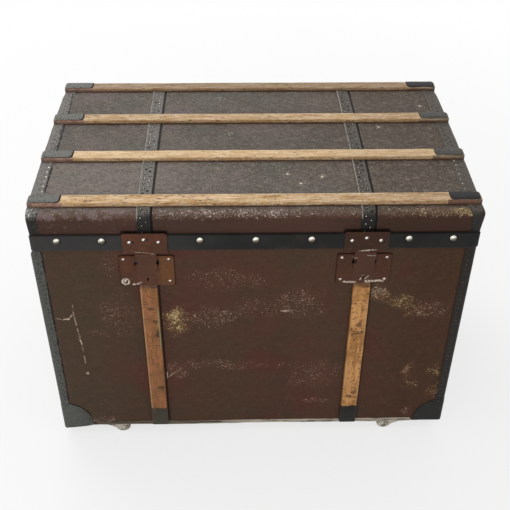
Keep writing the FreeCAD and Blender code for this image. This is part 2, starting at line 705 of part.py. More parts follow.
# ---------------------------------------------------------------- lid hinges
def hinge_leaf(upward):
    """A leaf of the right-hand hinge: up on the lid, or down on the body."""
    sign = 1 if upward else -1
    x0 = HINGE_X - HINGE_WIDTH / 2
    near = HINGE_KNUCKLE_RADIUS + HINGE_GAP
    back = FACE + HINGE_LEAF_THICK

    def slab(a, b, z0, z1):
        low, high = sorted((RIM + sign * z0, RIM + sign * z1))
        return box(a, b, FACE, back, low, high)

    pieces = [slab(x0, x0 + HINGE_WIDTH, near, HINGE_LEAF_HEIGHT)]
    step = HINGE_WIDTH / HINGE_KNUCKLES
    first = 1 if upward else 0
    for index in range(first, HINGE_KNUCKLES, 2):
        start = x0 + index * step + HINGE_GAP / 2
        length = step - HINGE_GAP
        pieces.append(rod(start, HINGE_AXIS_Y, RIM, AXIS_X, HINGE_KNUCKLE_RADIUS, length))
        foot = LID_GAP if upward else 0
        pieces.append(slab(start, start + length, foot, near + OVERLAP))
    grow = RUNNING if upward else 0
    return fused(pieces).cut(hinge_pin(grow))


def hinge_pin(grow):
    x0 = HINGE_X - HINGE_WIDTH / 2
    return rod(x0, HINGE_AXIS_Y, RIM, AXIS_X, HINGE_PIN_RADIUS + grow, HINGE_WIDTH)


def hinge_pin_with_heads():
    pieces = [hinge_pin(0)]
    for x in (HINGE_X - HINGE_WIDTH / 2 - HINGE_PIN_HEAD, HINGE_X + HINGE_WIDTH / 2):
        pieces.append(rod(x, HINGE_AXIS_Y, RIM, AXIS_X, HINGE_PIN_HEAD_RADIUS, HINGE_PIN_HEAD))
    return fused(pieces)


def hinges():
    return {
        "hinge_body_leaves": pair(hinge_leaf(False)),
        "hinge_lid_leaves": pair(hinge_leaf(True)),
        "hinge_pins": pair(hinge_pin_with_heads()),
    }


# ---------------------------------------------------------------- lid stays
def stay_point(degrees):
    """Y and Z of a point on the stay's circle round the lid's axis, when the lid is shut."""
    angle = math.radians(degrees)
    return HINGE_AXIS_Y - STAY_RADIUS * math.cos(angle), RIM + STAY_RADIUS * math.sin(angle)


def stay_reach(lid_degrees):
    """Distance from the pivot to the stud at a lid angle."""
    between = STAY_PIVOT_DEG - STAY_STUD_DEG + lid_degrees
    return 2 * STAY_RADIUS * math.sin(math.radians(between / 2))


def arm_face():
    """X of the arm's outer face, clear of the thicker of the two ends."""
    lining = END - CANVAS - max(BOARD, LID_BOARD) - LINING
    return lining - STAY_FLANGE_THICK - STAY_GAP


def stay_arm():
    """The right-hand arm, slotted over the stud's whole travel."""
    x, half = arm_face() - STAY_THICK, STAY_WIDTH / 2
    slot = STAY_PIN_RADIUS + STUD_GAP
    near, far = stay_reach(0), stay_reach(LID_OPEN_DEG)

    def bar(start, stop, radius):
        ends = [rod(x, d, 0, AXIS_X, radius, STAY_THICK) for d in (start, stop)]
        return fused([box(x, x + STAY_THICK, start, stop, -radius, radius)] + ends)

    arm = bar(0, far + half - slot, half).cut(bar(near, far, slot))
    arm = arm.cut(rod(x, 0, 0, AXIS_X, STAY_PIN_RADIUS + RUNNING, STAY_THICK))
    (pivot_y, pivot_z), (stud_y, stud_z) = stay_point(STAY_PIVOT_DEG), stay_point(STAY_STUD_DEG)
    angle = math.degrees(math.atan2(stud_z - pivot_z, stud_y - pivot_y))
    arm.rotate(V(0, 0, 0), AXIS_X, angle)
    arm.translate(V(0, pivot_y, pivot_z))
    return arm


def stay_post(degrees, board):
    """A flanged, headed post on the right-hand end's lining, through the arm."""
    y, z = stay_point(degrees)
    lining = END - CANVAS - board - LINING
    flange_face = arm_face() + STAY_GAP
    flange = rod(flange_face, y, z, AXIS_X, STAY_FLANGE_RADIUS, lining - flange_face)
    head_face = arm_face() - STAY_THICK - STAY_GAP
    post = rod(head_face, y, z, AXIS_X, STAY_PIN_RADIUS, flange_face - head_face)
    head = rod(head_face - STAY_HEAD_THICK, y, z, AXIS_X, STAY_HEAD_RADIUS, STAY_HEAD_THICK)
    return fused([flange, post, head])


def stays():
    arm = stay_arm()
    return {
        "stay_arm_right": [arm],
        "stay_arm_left": [mirrored(arm)],
        "stay_studs": pair(stay_post(STAY_STUD_DEG, BOARD)),
        "stay_pivots": pair(stay_post(STAY_PIVOT_DEG, LID_BOARD)),
    }


# ---------------------------------------------------------------- end handles
def handle_bracket(y):
    z, x = BASE + HANDLE_HEIGHT, END + HANDLE_OUT
    half_y, half_z, boss = BRACKET_WIDTH / 2, BRACKET_HEIGHT / 2, BOSS_WIDTH / 2
    plate = box(END, END + BRACKET_THICK, y - half_y, y + half_y, z - half_z, z + half_z)
    plate = rounded(plate, BRACKET_CORNER, lambda m, t: along(t, AXIS_X))
    lug = box(END, x, y - boss, y + boss, z - BOSS_RADIUS, z + BOSS_RADIUS)
    nose = rod(x, y - boss, z, AXIS_Y, BOSS_RADIUS, BOSS_WIDTH)
    bore = rod(x, y - boss, z, AXIS_Y, HANDLE_ROD_RADIUS + RUNNING, BOSS_WIDTH)
    return fused([plate, lug, nose]).cut(bore)


def handle_leg():
    """Y of the bail's leg, inside the boss by a gap and the rod's bend."""
    return HANDLE_SPAN / 2 - BOSS_WIDTH / 2 - HANDLE_SIDE_GAP - HANDLE_BEND


def handle_bail():
    """The right-hand bail: a bent rod whose ends turn in the two brackets."""
    x, z = END + HANDLE_OUT, BASE + HANDLE_HEIGHT
    tip = HANDLE_SPAN / 2 + BOSS_WIDTH / 2 + AXLE_END
    leg = handle_leg()
    low, bend = z - HANDLE_DROP, HANDLE_BEND
    cut = bend * (1 - math.sin(math.pi / 4))

    def point(y, height):
        return V(x, y, height)

    edges = []
    for side in (-1, 1):
        ends = [
            Part.LineSegment(point(side * tip, z), point(side * (leg + bend), z)),
            Part.Arc(point(side * (leg + bend), z), point(side * (leg + cut), z - cut),
                     point(side * leg, z - bend)),
            Part.LineSegment(point(side * leg, z - bend), point(side * leg, low + bend)),
            Part.Arc(point(side * leg, low + bend), point(side * (leg - cut), low + cut),
                     point(side * (leg - bend), low)),
        ]
        edges += ends if side < 0 else ends[::-1]
        if side < 0:
            edges.append(Part.LineSegment(point(bend - leg, low), point(leg - bend, low)))
    path = Part.Wire([e.toShape() for e in edges])
    circle = Part.makeCircle(HANDLE_ROD_RADIUS, point(-tip, z), AXIS_Y)
    return path.makePipeShell([Part.Wire(circle)], True, False)


def handle_grip():
    x, z = END + HANDLE_OUT, BASE + HANDLE_HEIGHT - HANDLE_DROP
    end = handle_leg() - HANDLE_BEND - GRIP_END_GAP
    grip = rod(x, -end, z, AXIS_Y, GRIP_RADIUS, 2 * end)
    grip = rounded(grip, GRIP_EDGE, lambda m, t: abs(abs(m.y) - end) < NEAR)
    return grip.cut(rod(x, -end, z, AXIS_Y, HANDLE_ROD_RADIUS, 2 * end))


def handles():
    brackets = []
    for y in (-HANDLE_SPAN / 2, HANDLE_SPAN / 2):
        brackets += pair(handle_bracket(y))
    parts = {"handle_brackets": brackets}
    for name, shape in (("handle_bail", handle_bail()), ("handle_grip", handle_grip())):
        parts[name + "_right"] = [shape]
        parts[name + "_left"] = [mirrored(shape)]
    return parts


# ---------------------------------------------------------------- rollers
def tangent_foot(foot, centre, radius, side):
    """Point where the line from foot touches the circle, in the XZ plane."""
    dx, dz = foot[0] - centre[0], foot[1] - centre[1]
    angle = math.atan2(dz, dx) + side * math.acos(radius / math.hypot(dx, dz))
    return centre[0] + radius * math.cos(angle), centre[1] + radius * math.sin(angle)


def roller_housing():
    """The front right housing: plate, two cheeks that taper outboard, and axle bores."""
    top = BASE - TIN
    low = top - ROLLER_PLATE
    y_out = roller_y() - ROLLER_WIDTH / 2 - CHEEK_GAP - CHEEK
    y_in = roller_y() + ROLLER_WIDTH / 2 + CHEEK_GAP
    plate = box(ROLLER_X - ROLLER_PLATE_IN, ROLLER_X + ROLLER_PLATE_OUT,
                y_out, y_in + CHEEK + ROLLER_PLATE_MARGIN, low, top)
    plate = rounded(plate, ROLLER_PLATE_CORNER, lambda m, t: along(t, AXIS_Z))
    reach = ROLLER_RADIUS + ROLLER_POCKET_GAP
    plate = plate.cut(box(ROLLER_X - reach, ROLLER_X + reach, y_out + CHEEK, y_in, low, top))
    centre = (ROLLER_X, ROLLER_RADIUS)
    outboard, inboard = (ROLLER_X + CHEEK_OUT, low), (ROLLER_X - CHEEK_IN, low)
    touch_out = tangent_foot(outboard, centre, CHEEK_RADIUS, -1)
    touch_in = tangent_foot(inboard, centre, CHEEK_RADIUS, 1)
    pieces = [plate]
    for y in (y_out, y_in):
        corners = [V(p[0], y, p[1]) for p in (outboard, inboard, touch_in, centre, touch_out)]
        corners[0].z = corners[1].z = low + ROLLER_PLATE / 2
        pieces.append(prism(corners, V(0, CHEEK, 0)))
        pieces.append(rod(ROLLER_X, y, ROLLER_RADIUS, AXIS_Y, CHEEK_RADIUS, CHEEK))
    bore = rod(ROLLER_X, y_out, ROLLER_RADIUS, AXIS_Y, AXLE_RADIUS + RUNNING, y_in + CHEEK - y_out)
    return fused(pieces).cut(bore)


def roller():
    """The front right roller with its trunnions."""
    y0 = roller_y() - ROLLER_WIDTH / 2
    wheel = rod(ROLLER_X, y0, ROLLER_RADIUS, AXIS_Y, ROLLER_RADIUS, ROLLER_WIDTH)
    wheel = rounded(wheel, ROLLER_EDGE,
                    lambda m, t: abs(abs(m.y - roller_y()) - ROLLER_WIDTH / 2) < NEAR)
    side = CHEEK_GAP + CHEEK + AXLE_END
    axle = rod(ROLLER_X, y0 - side, ROLLER_RADIUS, AXIS_Y, AXLE_RADIUS, ROLLER_WIDTH + 2 * side)
    return fused([wheel, axle])


def rollers():
    housing_fronts = pair(roller_housing())
    wheel_right, wheel_left = pair(roller())
    return {
        "roller_housings": housing_fronts + [turned_back(h) for h in housing_fronts],
        "roller_front_right": [wheel_right],
        "roller_front_left": [wheel_left],
        "roller_back_left": [turned_back(wheel_right)],
        "roller_back_right": [turned_back(wheel_left)],
    }


# ---------------------------------------------------------------- assembly
def assembly():
    """Every node's solids, before the origin is set."""
    parts = {}
    for group in (carcass(), body_trim(), slats(), lid_shell(), lid_slats_and_caps(), valance(),
                  valance_nails(), locks(), hinges(), stays(), handles(), rollers()):
        parts.update(group)
    parts["lid_bands"] = lid_bands()
    parts["lid_edge_bindings"] = lid_bindings()
    return parts


def origin_of(parts):
    """Bottom centre of everything."""
    whole = Part.makeCompound([solid for solids in parts.values() for solid in solids])
    bounds = whole.optimalBoundingBox(False, False)
    return V((bounds.XMin + bounds.XMax) / 2, (bounds.YMin + bounds.YMax) / 2, bounds.ZMin)


def main():
    os.makedirs("parts", exist_ok=True)
    parts = assembly()
    origin = origin_of(parts)
    for node, solids in sorted(parts.items()):
        for solid in solids:
            solid.translate(-origin)
        shape = solids[0] if len(solids) == 1 else Part.makeCompound(solids)
        shape.exportStep("parts/%s.step" % node)
        print(node, len(shape.Solids), round(shape.Volume, 1), shape.isValid())
    print("origin", origin)


main()
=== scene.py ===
"""The looks of a slatted travelling trunk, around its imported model. Lengths are in metres."""
import math
import random

import bmesh
import bpy
from mathutils import Matrix, Vector, noise


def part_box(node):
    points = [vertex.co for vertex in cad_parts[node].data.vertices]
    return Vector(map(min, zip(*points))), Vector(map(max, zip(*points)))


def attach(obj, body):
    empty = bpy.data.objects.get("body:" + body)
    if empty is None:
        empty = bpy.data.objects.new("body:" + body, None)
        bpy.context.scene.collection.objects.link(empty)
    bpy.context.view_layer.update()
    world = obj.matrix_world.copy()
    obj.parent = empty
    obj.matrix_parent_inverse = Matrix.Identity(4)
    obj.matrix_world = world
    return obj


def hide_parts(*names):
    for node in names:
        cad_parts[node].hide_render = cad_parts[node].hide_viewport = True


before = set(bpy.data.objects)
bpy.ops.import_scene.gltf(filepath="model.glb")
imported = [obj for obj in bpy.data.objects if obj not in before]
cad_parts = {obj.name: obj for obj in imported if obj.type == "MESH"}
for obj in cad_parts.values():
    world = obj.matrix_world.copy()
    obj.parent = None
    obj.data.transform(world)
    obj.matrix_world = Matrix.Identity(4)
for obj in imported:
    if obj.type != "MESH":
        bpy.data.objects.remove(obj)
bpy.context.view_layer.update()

# ---------------------------------------------------------------- places, from the frame
body_low, body_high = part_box("body_canvas")
lid_low, lid_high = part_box("lid_canvas")
valance_low, valance_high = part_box("lid_valance")
FRONT, BACK, END = body_low.y, body_high.y, body_high.x
MIDDLE = (FRONT + BACK) / 2
BASE, RIM = body_low.z, body_high.z
SHOULDER = 0.02              # rounding of the lid's long edges
CROWN = 0.004                # rise of the lid's top
LID_TOP = lid_high.z - CROWN
TOP_HALF = (BACK - FRONT) / 2 - SHOULDER
PLAN_CORNER = 0.006          # rounding of the carcass's corners in plan
SHEET = 0.0008               # thickness of the sheet-metal trim
SLAT_ROWS = [sum((corner.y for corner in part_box("lid_slat_%d" % n)), 0.0) / 2 for n in (1, 2, 3, 4)]
SLAT_HALF = 0.0155           # half the width of a lid slat
UPRIGHT_X = 0.215            # middle of the front and back slats, the locks and the hinges
UPRIGHT_HALF = 0.018
BAND_X = 0.2145
BAND_HALF = 0.013
LEFT_BINDING = 0.02          # width of the lid's edge binding on the left, over the top
RIGHT_BINDING = 0.026
VALANCE_LOW, VALANCE_TOP = valance_low.z, valance_high.z
LEAF_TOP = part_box("hinge_lid_leaves")[1].z
BINDING_TOP = VALANCE_LOW - 0.0022
TACK = (0.0017, 0.001)       # radius and rise of the tacks in the bindings
CORNER_TACK = (0.0019, 0.0011)
SIDES = (("left", -1), ("right", 1))
# The body's upright corners: -1 left or 1 right, the face's y, and -1 in front or 1 behind.
CORNERS = [(sign, y_face, toward) for sign in (-1, 1) for y_face, toward in ((FRONT, -1), (BACK, 1))]


def linear(red, green, blue):
    """A colour from its screen values, 0 to 255."""
    def one(value):
        value /= 255
        return value / 12.92 if value <= 0.04045 else ((value + 0.055) / 1.055) ** 2.4
    return one(red), one(green), one(blue), 1.0


def wobble(seed, place, scale, size):
    """Smooth, repeatable unevenness along a length."""
    return size * noise.noise(Vector((place * scale, seed * 7.31, seed * 3.17)))


def evenly(start, stop, steps):
    """Places from start to stop, both included."""
    return [start + (stop - start) * k / steps for k in range(steps + 1)]


# ---------------------------------------------------------------- nodes
class Value:
    """What a node gives out. Sums with it add nodes; a product of two masks is 1 where both are."""

    def __init__(self, nodes, socket):
        self.nodes, self.socket = nodes, socket

    def __add__(self, other):
        return self.nodes.maths("ADD", self, other)

    def __sub__(self, other):
        return self.nodes.maths("SUBTRACT", self, other)

    def __mul__(self, other):
        return self.nodes.maths("MULTIPLY", self, other)

    def __abs__(self):
        return self.nodes.maths("ABSOLUTE", self)

    def step(self, low, high):
        """0 below low, 1 above high, smooth between them; the other way round if low is the larger."""
        rising = float(low < high)
        inputs = {"Value": self, "From Min": min(low, high), "From Max": max(low, high),
                  "To Min": 1 - rising, "To Max": rising}
        return self.nodes.node("MapRange", inputs, "Result", interpolation_type="SMOOTHSTEP")

    def near(self, middle, inside, outside):
        """1 where the value is within inside of the middle, 0 beyond outside."""
        return abs(self - middle).step(outside, inside)


class Coat(Value):
    """A colour that is built up in layers."""

    def over(self, mask, *colour, blend="MIX"):
        """Lays a colour over the coat where the mask is 1: its screen values, or a Value."""
        colour = colour if len(colour) == 3 else colour[0]
        self.socket = self.nodes.mix(mask, self, colour, blend).socket


def largest(*values):
    most = values[0]
    for value in values[1:]:
        most = most.nodes.maths("MAXIMUM", most, value)
    return most


class Nodes:
    """A node tree in the making: each method adds nodes and returns what the last one gives out."""

    def __init__(self, owner):
        owner.use_nodes = True
        self.tree = owner.node_tree

    def put(self, socket, value):
        if isinstance(value, Value):
            self.tree.links.new(value.socket, socket)
        else:
            socket.default_value = value

    def node(self, kind, inputs, output=0, **settings):
        made = self.tree.nodes.new("ShaderNode" + kind)
        for name, value in settings.items():
            setattr(made, name, value)
        for name, value in inputs.items():
            self.put(made.inputs[name], value)
        return Value(self, made.outputs[output])

    def maths(self, operation, *values):
        return self.node("Math", dict(enumerate(values)), operation=operation)

    def vector(self, operation, *values, output=0):
        return self.node("VectorMath", dict(enumerate(values)), output, operation=operation)

    def seen_directly(self):
        """1 for what the camera sees, itself or through a mirror or glass."""
        rays = self.tree.nodes.new("ShaderNodeLightPath")
        kinds = ("Is Camera Ray", "Is Glossy Ray", "Is Transmission Ray")
        return largest(*[Value(self, rays.outputs[kind]) for kind in kinds])


class Finish(Nodes):
    """A material in the making."""

    def __init__(self, name, specular=0.5, metallic=0.0):
        self.material = bpy.data.materials.new(name)
        super().__init__(self.material)
        self.shader = self.tree.nodes["Principled BSDF"]
        self.shader.inputs["Specular IOR Level"].default_value = specular
        self.shader.inputs["Metallic"].default_value = metallic
        coordinates = self.tree.nodes.new("ShaderNodeTexCoord").outputs
        self.place, self.normal = Value(self, coordinates["Object"]), Value(self, coordinates["Normal"])

    def axis(self, name, source=None):
        return self.node("SeparateXYZ", {0: source or self.place}, name)

    def axes(self, names):
        return [self.axis(name) for name in names]

    def facing_up(self):
        return self.axis("Z", self.normal)

    def spread(self, scale):
        """Where a texture is read and how fine it is; three scales draw it out along the axes."""
        if isinstance(scale, tuple):
            return {"Vector": self.vector("MULTIPLY", self.place, scale), "Scale": 1.0}
        return {"Vector": self.place, "Scale": scale}

    def noise(self, scale, detail=3, rough=0.55, distortion=0.0):
        return self.node("TexNoise", {**self.spread(scale), "Detail": detail, "Roughness": rough,
                                      "Distortion": distortion}, "Fac")

    def cells(self, scale):
        return self.node("TexVoronoi", self.spread(scale), "Distance")

    def shaken(self, scale, reach):
        """The place moved about by noise, so that what is drawn there has no clean outline."""
        shift = self.node("TexNoise", {"Vector": self.place, "Scale": scale, "Detail": 4.0}, "Color")
        shift = self.vector("SUBTRACT", shift, (0.5, 0.5, 0.5))
        return self.vector("ADD", self.place, self.vector("MULTIPLY", shift, reach))

    def weave(self, pitch=0.0015):
        """The crossed threads of canvas: high on the threads, low in the gaps."""
        fine, long = 1 / pitch, 60
        crossed = self.noise((fine, fine, long), 1) + self.noise((long, long, fine), 1)
        return (crossed + self.noise((long, fine, long), 1)) * (1 / 3)

    def mix(self, share, first, second, blend="MIX"):
        """Between two colours, each a Value or its screen values."""
        pair = [linear(*colour) if isinstance(colour, tuple) else colour for colour in (first, second)]
        inputs = {"Factor": share, 6: pair[0], 7: pair[1]}
        return self.node("Mix", inputs, 2, data_type="RGBA", blend_type=blend)

    def coat(self, share, first, second):
        return Coat(self, self.mix(share, first, second).socket)

    def patch(self, centre, reach):
        """1 in the middle of an ellipsoid, 0 outside it."""
        shaped = self.vector("DIVIDE", self.vector("SUBTRACT", self.place, centre), reach)
        return self.vector("LENGTH", shaped, output=1).step(1.0, 0.35)

    def front_patches(self, places):
        """The same for patches on the front, each by its x and z, and its reach sideways and upwards."""
        return [self.patch((x, FRONT, z), (wide, 0.03, tall)) for x, z, wide, tall in places]

    def lid_patches(self, places, reach):
        return largest(*[self.patch((x, y, LID_TOP + CROWN / 2), reach) for x, y in places])

    def spots(self, mask, threshold, gain, *stretch):
        """Ragged specks: thick where the mask is 1, fewer where it is weak, none where it is 0."""
        specks = mask * gain + self.noise(stretch, 3, 0.6)
        return specks.step(threshold - 0.02, threshold + 0.02) * mask.step(0.02, 0.2)

    def line_mark(self, start, stop, width, axes, edge):
        """1 on a thin ragged line between two points, 0 beyond its width, measured along the axes given."""
        start, run = Vector(start), Vector(stop) - Vector(start)
        offset = self.vector("SUBTRACT", self.vector("MULTIPLY", self.place, axes), start)
        along = self.vector("DOT_PRODUCT", offset, run / run.length_squared, output=1)
        along = self.maths("MINIMUM", largest(along, 0.0), 1.0)
        nearest = self.node("VectorMath", {0: run, "Scale": along}, operation="SCALE")
        away = self.vector("LENGTH", self.vector("SUBTRACT", offset, nearest), output=1)
        return (self.noise(140) * (1.6 * width) + away).step(edge[0] * width, edge[1] * width)

    def scratch(self, x0, z0, x1, z1, width):
        """A line seen from the front."""
        return self.line_mark((x0, 0, z0), (x1, 0, z1), width, (1, 0, 1), (1.5, 0.9))

    def lid_gap_shade(self):
        """Painted shade in the gaps beside the lid's left binding, seen from above."""
        return largest(*[self.line_mark((x0, y0, 0), (x1, y1, 0), width, (1, 1, 0), (1.22, 1.04))
                         for x0, y0, x1, y1, width in GAP_SHADE_LINES])

    def ring(self, x, z, radius, inside, outside):
        """1 on a circle seen from the front."""
        offset = self.vector("MULTIPLY", self.vector("SUBTRACT", self.place, (x, 0, z)), (1, 0, 1))
        return self.vector("LENGTH", offset, output=1).near(radius, inside, outside)

    def plate_shadow(self, node, reach):
        """1 against the outline of a plate in front, on both halves of the trunk, 0 beyond reach."""
        low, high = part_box(node)
        x, z = self.axes("XZ")
        across = abs(abs(x) - (low.x + high.x) / 2) - (high.x - low.x) / 2
        up = abs(z - (low.z + high.z) / 2) - (high.z - low.z) / 2
        return largest(across, up).step(reach, 0.0)

    def finish(self, colour, roughness, height, depth):
        """Closes the material with its colour, its roughness and bumps of this depth."""
        bump = self.node("Bump", {"Height": height, "Distance": depth})
        for name, value in (("Base Color", colour), ("Roughness", roughness), ("Normal", bump)):
            self.put(self.shader.inputs[name], value)
        return self.material


# ---------------------------------------------------------------- materials
# Scuffs on the front: x and z of the middle, reach sideways, reach upwards, strength.
FRONT_SCUFFS = (
    (-0.158, 0.35, 0.036, 0.054, 1.1), (-0.095, 0.352, 0.085, 0.048, 0.62), (0.0, 0.38, 0.08, 0.045, 0.46),
    (-0.178, 0.2, 0.03, 0.04, 0.6), (-0.1, 0.218, 0.09, 0.016, 0.66), (-0.01, 0.215, 0.08, 0.016, 0.5),
    (0.095, 0.392, 0.06, 0.06, 0.62), (0.262, 0.414, 0.03, 0.034, 0.85), (0.294, 0.396, 0.044, 0.034, 0.9),
    (0.332, 0.374, 0.04, 0.026, 0.66), (0.365, 0.375, 0.06, 0.035, 0.62), (0.125, 0.185, 0.09, 0.06, 0.48),
    (0.13, 0.105, 0.05, 0.012, 0.6), (0.35, 0.18, 0.022, 0.06, 0.7), (0.415, 0.15, 0.022, 0.09, 0.66),
    (0.365, 0.06, 0.02, 0.025, 0.58), (-0.285, 0.365, 0.06, 0.08, 0.44),
    (-0.335, 0.315, 0.045, 0.016, 0.52), (-0.285, 0.5, 0.03, 0.06, 0.52),
    (-0.345, 0.05, 0.055, 0.02, 0.66), (-0.06, 0.46, 0.15, 0.04, 0.44))
# Where the scuffs go down to the yellow ground: x, z, and the reach both ways.
YELLOW_GROUND = ((-0.16, 0.35, 0.04, 0.064), (0.296, 0.394, 0.054, 0.044), (0.39, 0.17, 0.06, 0.08))
# Scratches on the front: x and z of each end, the width, and how strong.
FRONT_SCRATCHES = (
    (-0.3735, 0.4, -0.375, 0.373, 0.0018, 0.35), (-0.375, 0.373, -0.3705, 0.31, 0.0024, 0.55),
    (-0.3705, 0.306, -0.3678, 0.284, 0.0038, 0.9), (-0.3678, 0.284, -0.3658, 0.222, 0.0022, 0.45),
    (-0.3658, 0.199, -0.3655, 0.195, 0.006, 0.6), (-0.414, 0.3585, -0.399, 0.3545, 0.0028, 0.65),
    (-0.399, 0.3545, -0.386, 0.3555, 0.0046, 0.95), (-0.386, 0.3558, -0.3785, 0.366, 0.003, 0.65),
    (-0.192, 0.178, -0.178, 0.192, 0.0024, 0.55), (-0.178, 0.192, -0.162, 0.206, 0.0018, 0.4),
    (-0.191, 0.195, -0.193, 0.176, 0.0026, 0.7), (0.055, 0.371, 0.07, 0.372, 0.005, 0.9))
# Painted shade in the gaps beside the lid's left binding: x and y of each end, and the width.
GAP_SHADE_LINES = ((-0.414, 0.214, -0.41, 0.11, 0.0042), (-0.4115, 0.058, -0.4095, -0.053, 0.0074),
             (-0.4098, -0.107, -0.4098, -0.2, 0.006))
# Places on the lid's top where the paint has chipped: x and y. The first five go down to the ground.
LID_CHIPS = ((0.384, 0.141), (0.276, 0.043), (0.091, -0.178), (0.066, -0.144), (0.135, -0.155),
             (-0.071, 0.185), (-0.081, -0.125), (-0.05, 0.014), (-0.33, -0.168))
DEEP_CHIPS = 5


def along_rows(y, shift, inside, outside):
    """1 on a line along every lid slat, this far behind its middle."""
    return largest(*[y.near(row + shift, inside, outside) for row in SLAT_ROWS])


def along_bands(x, shift, inside, outside):
    """1 on a line along both lid bands, this far to the right of their middle."""
    return largest(*[x.near(sign * BAND_X + shift, inside, outside) for sign in (-1, 1)])


def body_canvas_finish():
    """Brown painted canvas, rubbed through to its pale ground where things have scraped it."""
    f = Finish("painted_canvas", specular=0.1)
    x, y, z = f.axes("XYZ")
    threads, mottle = f.weave(), f.noise(120, 5, 0.7)
    coat = f.coat(f.noise(4.5, 5, 0.6).step(0.38, 0.64), (70, 52, 39), (75, 49, 38))
    coat.over(f.noise(11, 5).step(0.48, 0.66) * 0.6, 62, 51, 38)
    coat.over(f.noise(7, 4).step(0.53, 0.66) * 0.55, 80, 42, 36)
    # Darker towards the right: painted falloff of the light that comes from the left.
    coat.over(x.step(0.2, 0.36) * 0.7, 63, 41, 26)
    coat.over(x.step(-0.22, -0.36) * y.step(FRONT + 0.12, FRONT + 0.02) * 0.6, 69, 58, 44)
    coat.over(mottle.step(0.44, 0.28) * 0.62, 44, 31, 25)
    coat.over(mottle.step(0.56, 0.72) * 0.34, 98, 72, 58)
    coat.over(threads.step(0.5, 0.62) * 0.14, 108, 84, 68)
    # Scuffs: where they are, then the reddish rub, the faint specks and the bright ones.
    steady, f.place = f.place, f.shaken(20, (0.11, 0, 0.05))
    patches = f.front_patches([scuff[:4] for scuff in FRONT_SCUFFS])
    masks = [patch * scuff[4] for patch, scuff in zip(patches, FRONT_SCUFFS)]
    yellow = largest(*f.front_patches(YELLOW_GROUND))
    f.place = steady
    drawn_out = f.noise((4.5, 4.5, 15), 4, 0.6).step(0.54, 0.72)
    masks.append(drawn_out * y.step(FRONT + 0.004, FRONT + 0.012) * 0.72)
    scuffed = largest(*masks) * largest(f.noise(34, 5, 0.7) * 2.8 - 0.66, 0.0)
    rubbed = f.noise(22, 4).step(0.42, 0.6) * f.maths("MINIMUM", scuffed, 1.0)
    coat.over(rubbed * 0.55, 102, 60, 48)
    coat.over(yellow * scuffed.step(0.15, 0.8) * 0.45, 98, 72, 42)
    faint = f.spots(scuffed, 0.665, 0.12, 210, 210, 330)
    coat.over(faint * 0.45, f.mix(yellow, (112, 84, 74), (120, 94, 60)))
    flecks = largest(f.spots(scuffed, 0.705, 0.18, 280, 280, 460),
                     f.spots(scuffed, 0.73, 0.19, 140, 140, 300))
    bright = f.noise(420, 2).step(0.4, 0.6)
    coat.over(flecks * 0.8, f.mix(yellow, f.mix(bright, (126, 98, 84), (192, 170, 148)),
                                   f.mix(bright, (150, 120, 78), (214, 190, 144))))
    # Scratches; then painted shade along the bindings' edges, beside the slats, round the locks, along the
    # foot.
    on_front = y.step(FRONT + 0.012, FRONT + 0.004)
    broken = on_front * f.noise(130).step(0.36, 0.5)
    for *line, strength in FRONT_SCRATCHES:
        coat.over(broken * f.scratch(*line) * strength, 198, 176, 156)
    coat.over(x.near(-0.413, 0.002, 0.007) * 0.22, 78, 60, 58)
    # Painted shade along the inner edges of the corner bindings and round the bottom corner sheet.
    edge = x.near(-0.4178, 0.0014, 0.0032) * f.noise(60).step(0.42, 0.52)
    arc = f.ring(-END - 0.0065, BASE, 0.0692, 0.0008, 0.0024) * z.step(BASE + 0.02, BASE + 0.04)
    edge = largest(edge, arc, x.near(0.4125, 0.001, 0.0036) * 0.6)
    coat.over(edge * on_front * 0.85, 28, 20, 20)
    # Painted shadows beside the front slats and round the slats and the lock plates.
    slat_shadow = along_bands(x, 0.0196, 0.001, 0.0034) * z.step(0.45, 0.446)
    dirt_and_shade = largest(slat_shadow, f.plate_shadow("front_slat_right", 0.0026) * 0.7,
                    f.plate_shadow("lock_plate_right", 0.003) * 0.8)
    coat.over(dirt_and_shade * on_front * 0.85, 24, 15, 11)
    # Painted shade along the foot of the body, over the tin's edge.
    coat.over(z.step(BASE + 0.005, BASE + 0.002) * 0.85, 22, 17, 15)
    return f.finish(coat, mottle * 0.3 + 0.42, mottle * 0.6 + threads - flecks * 0.6, 0.0007)


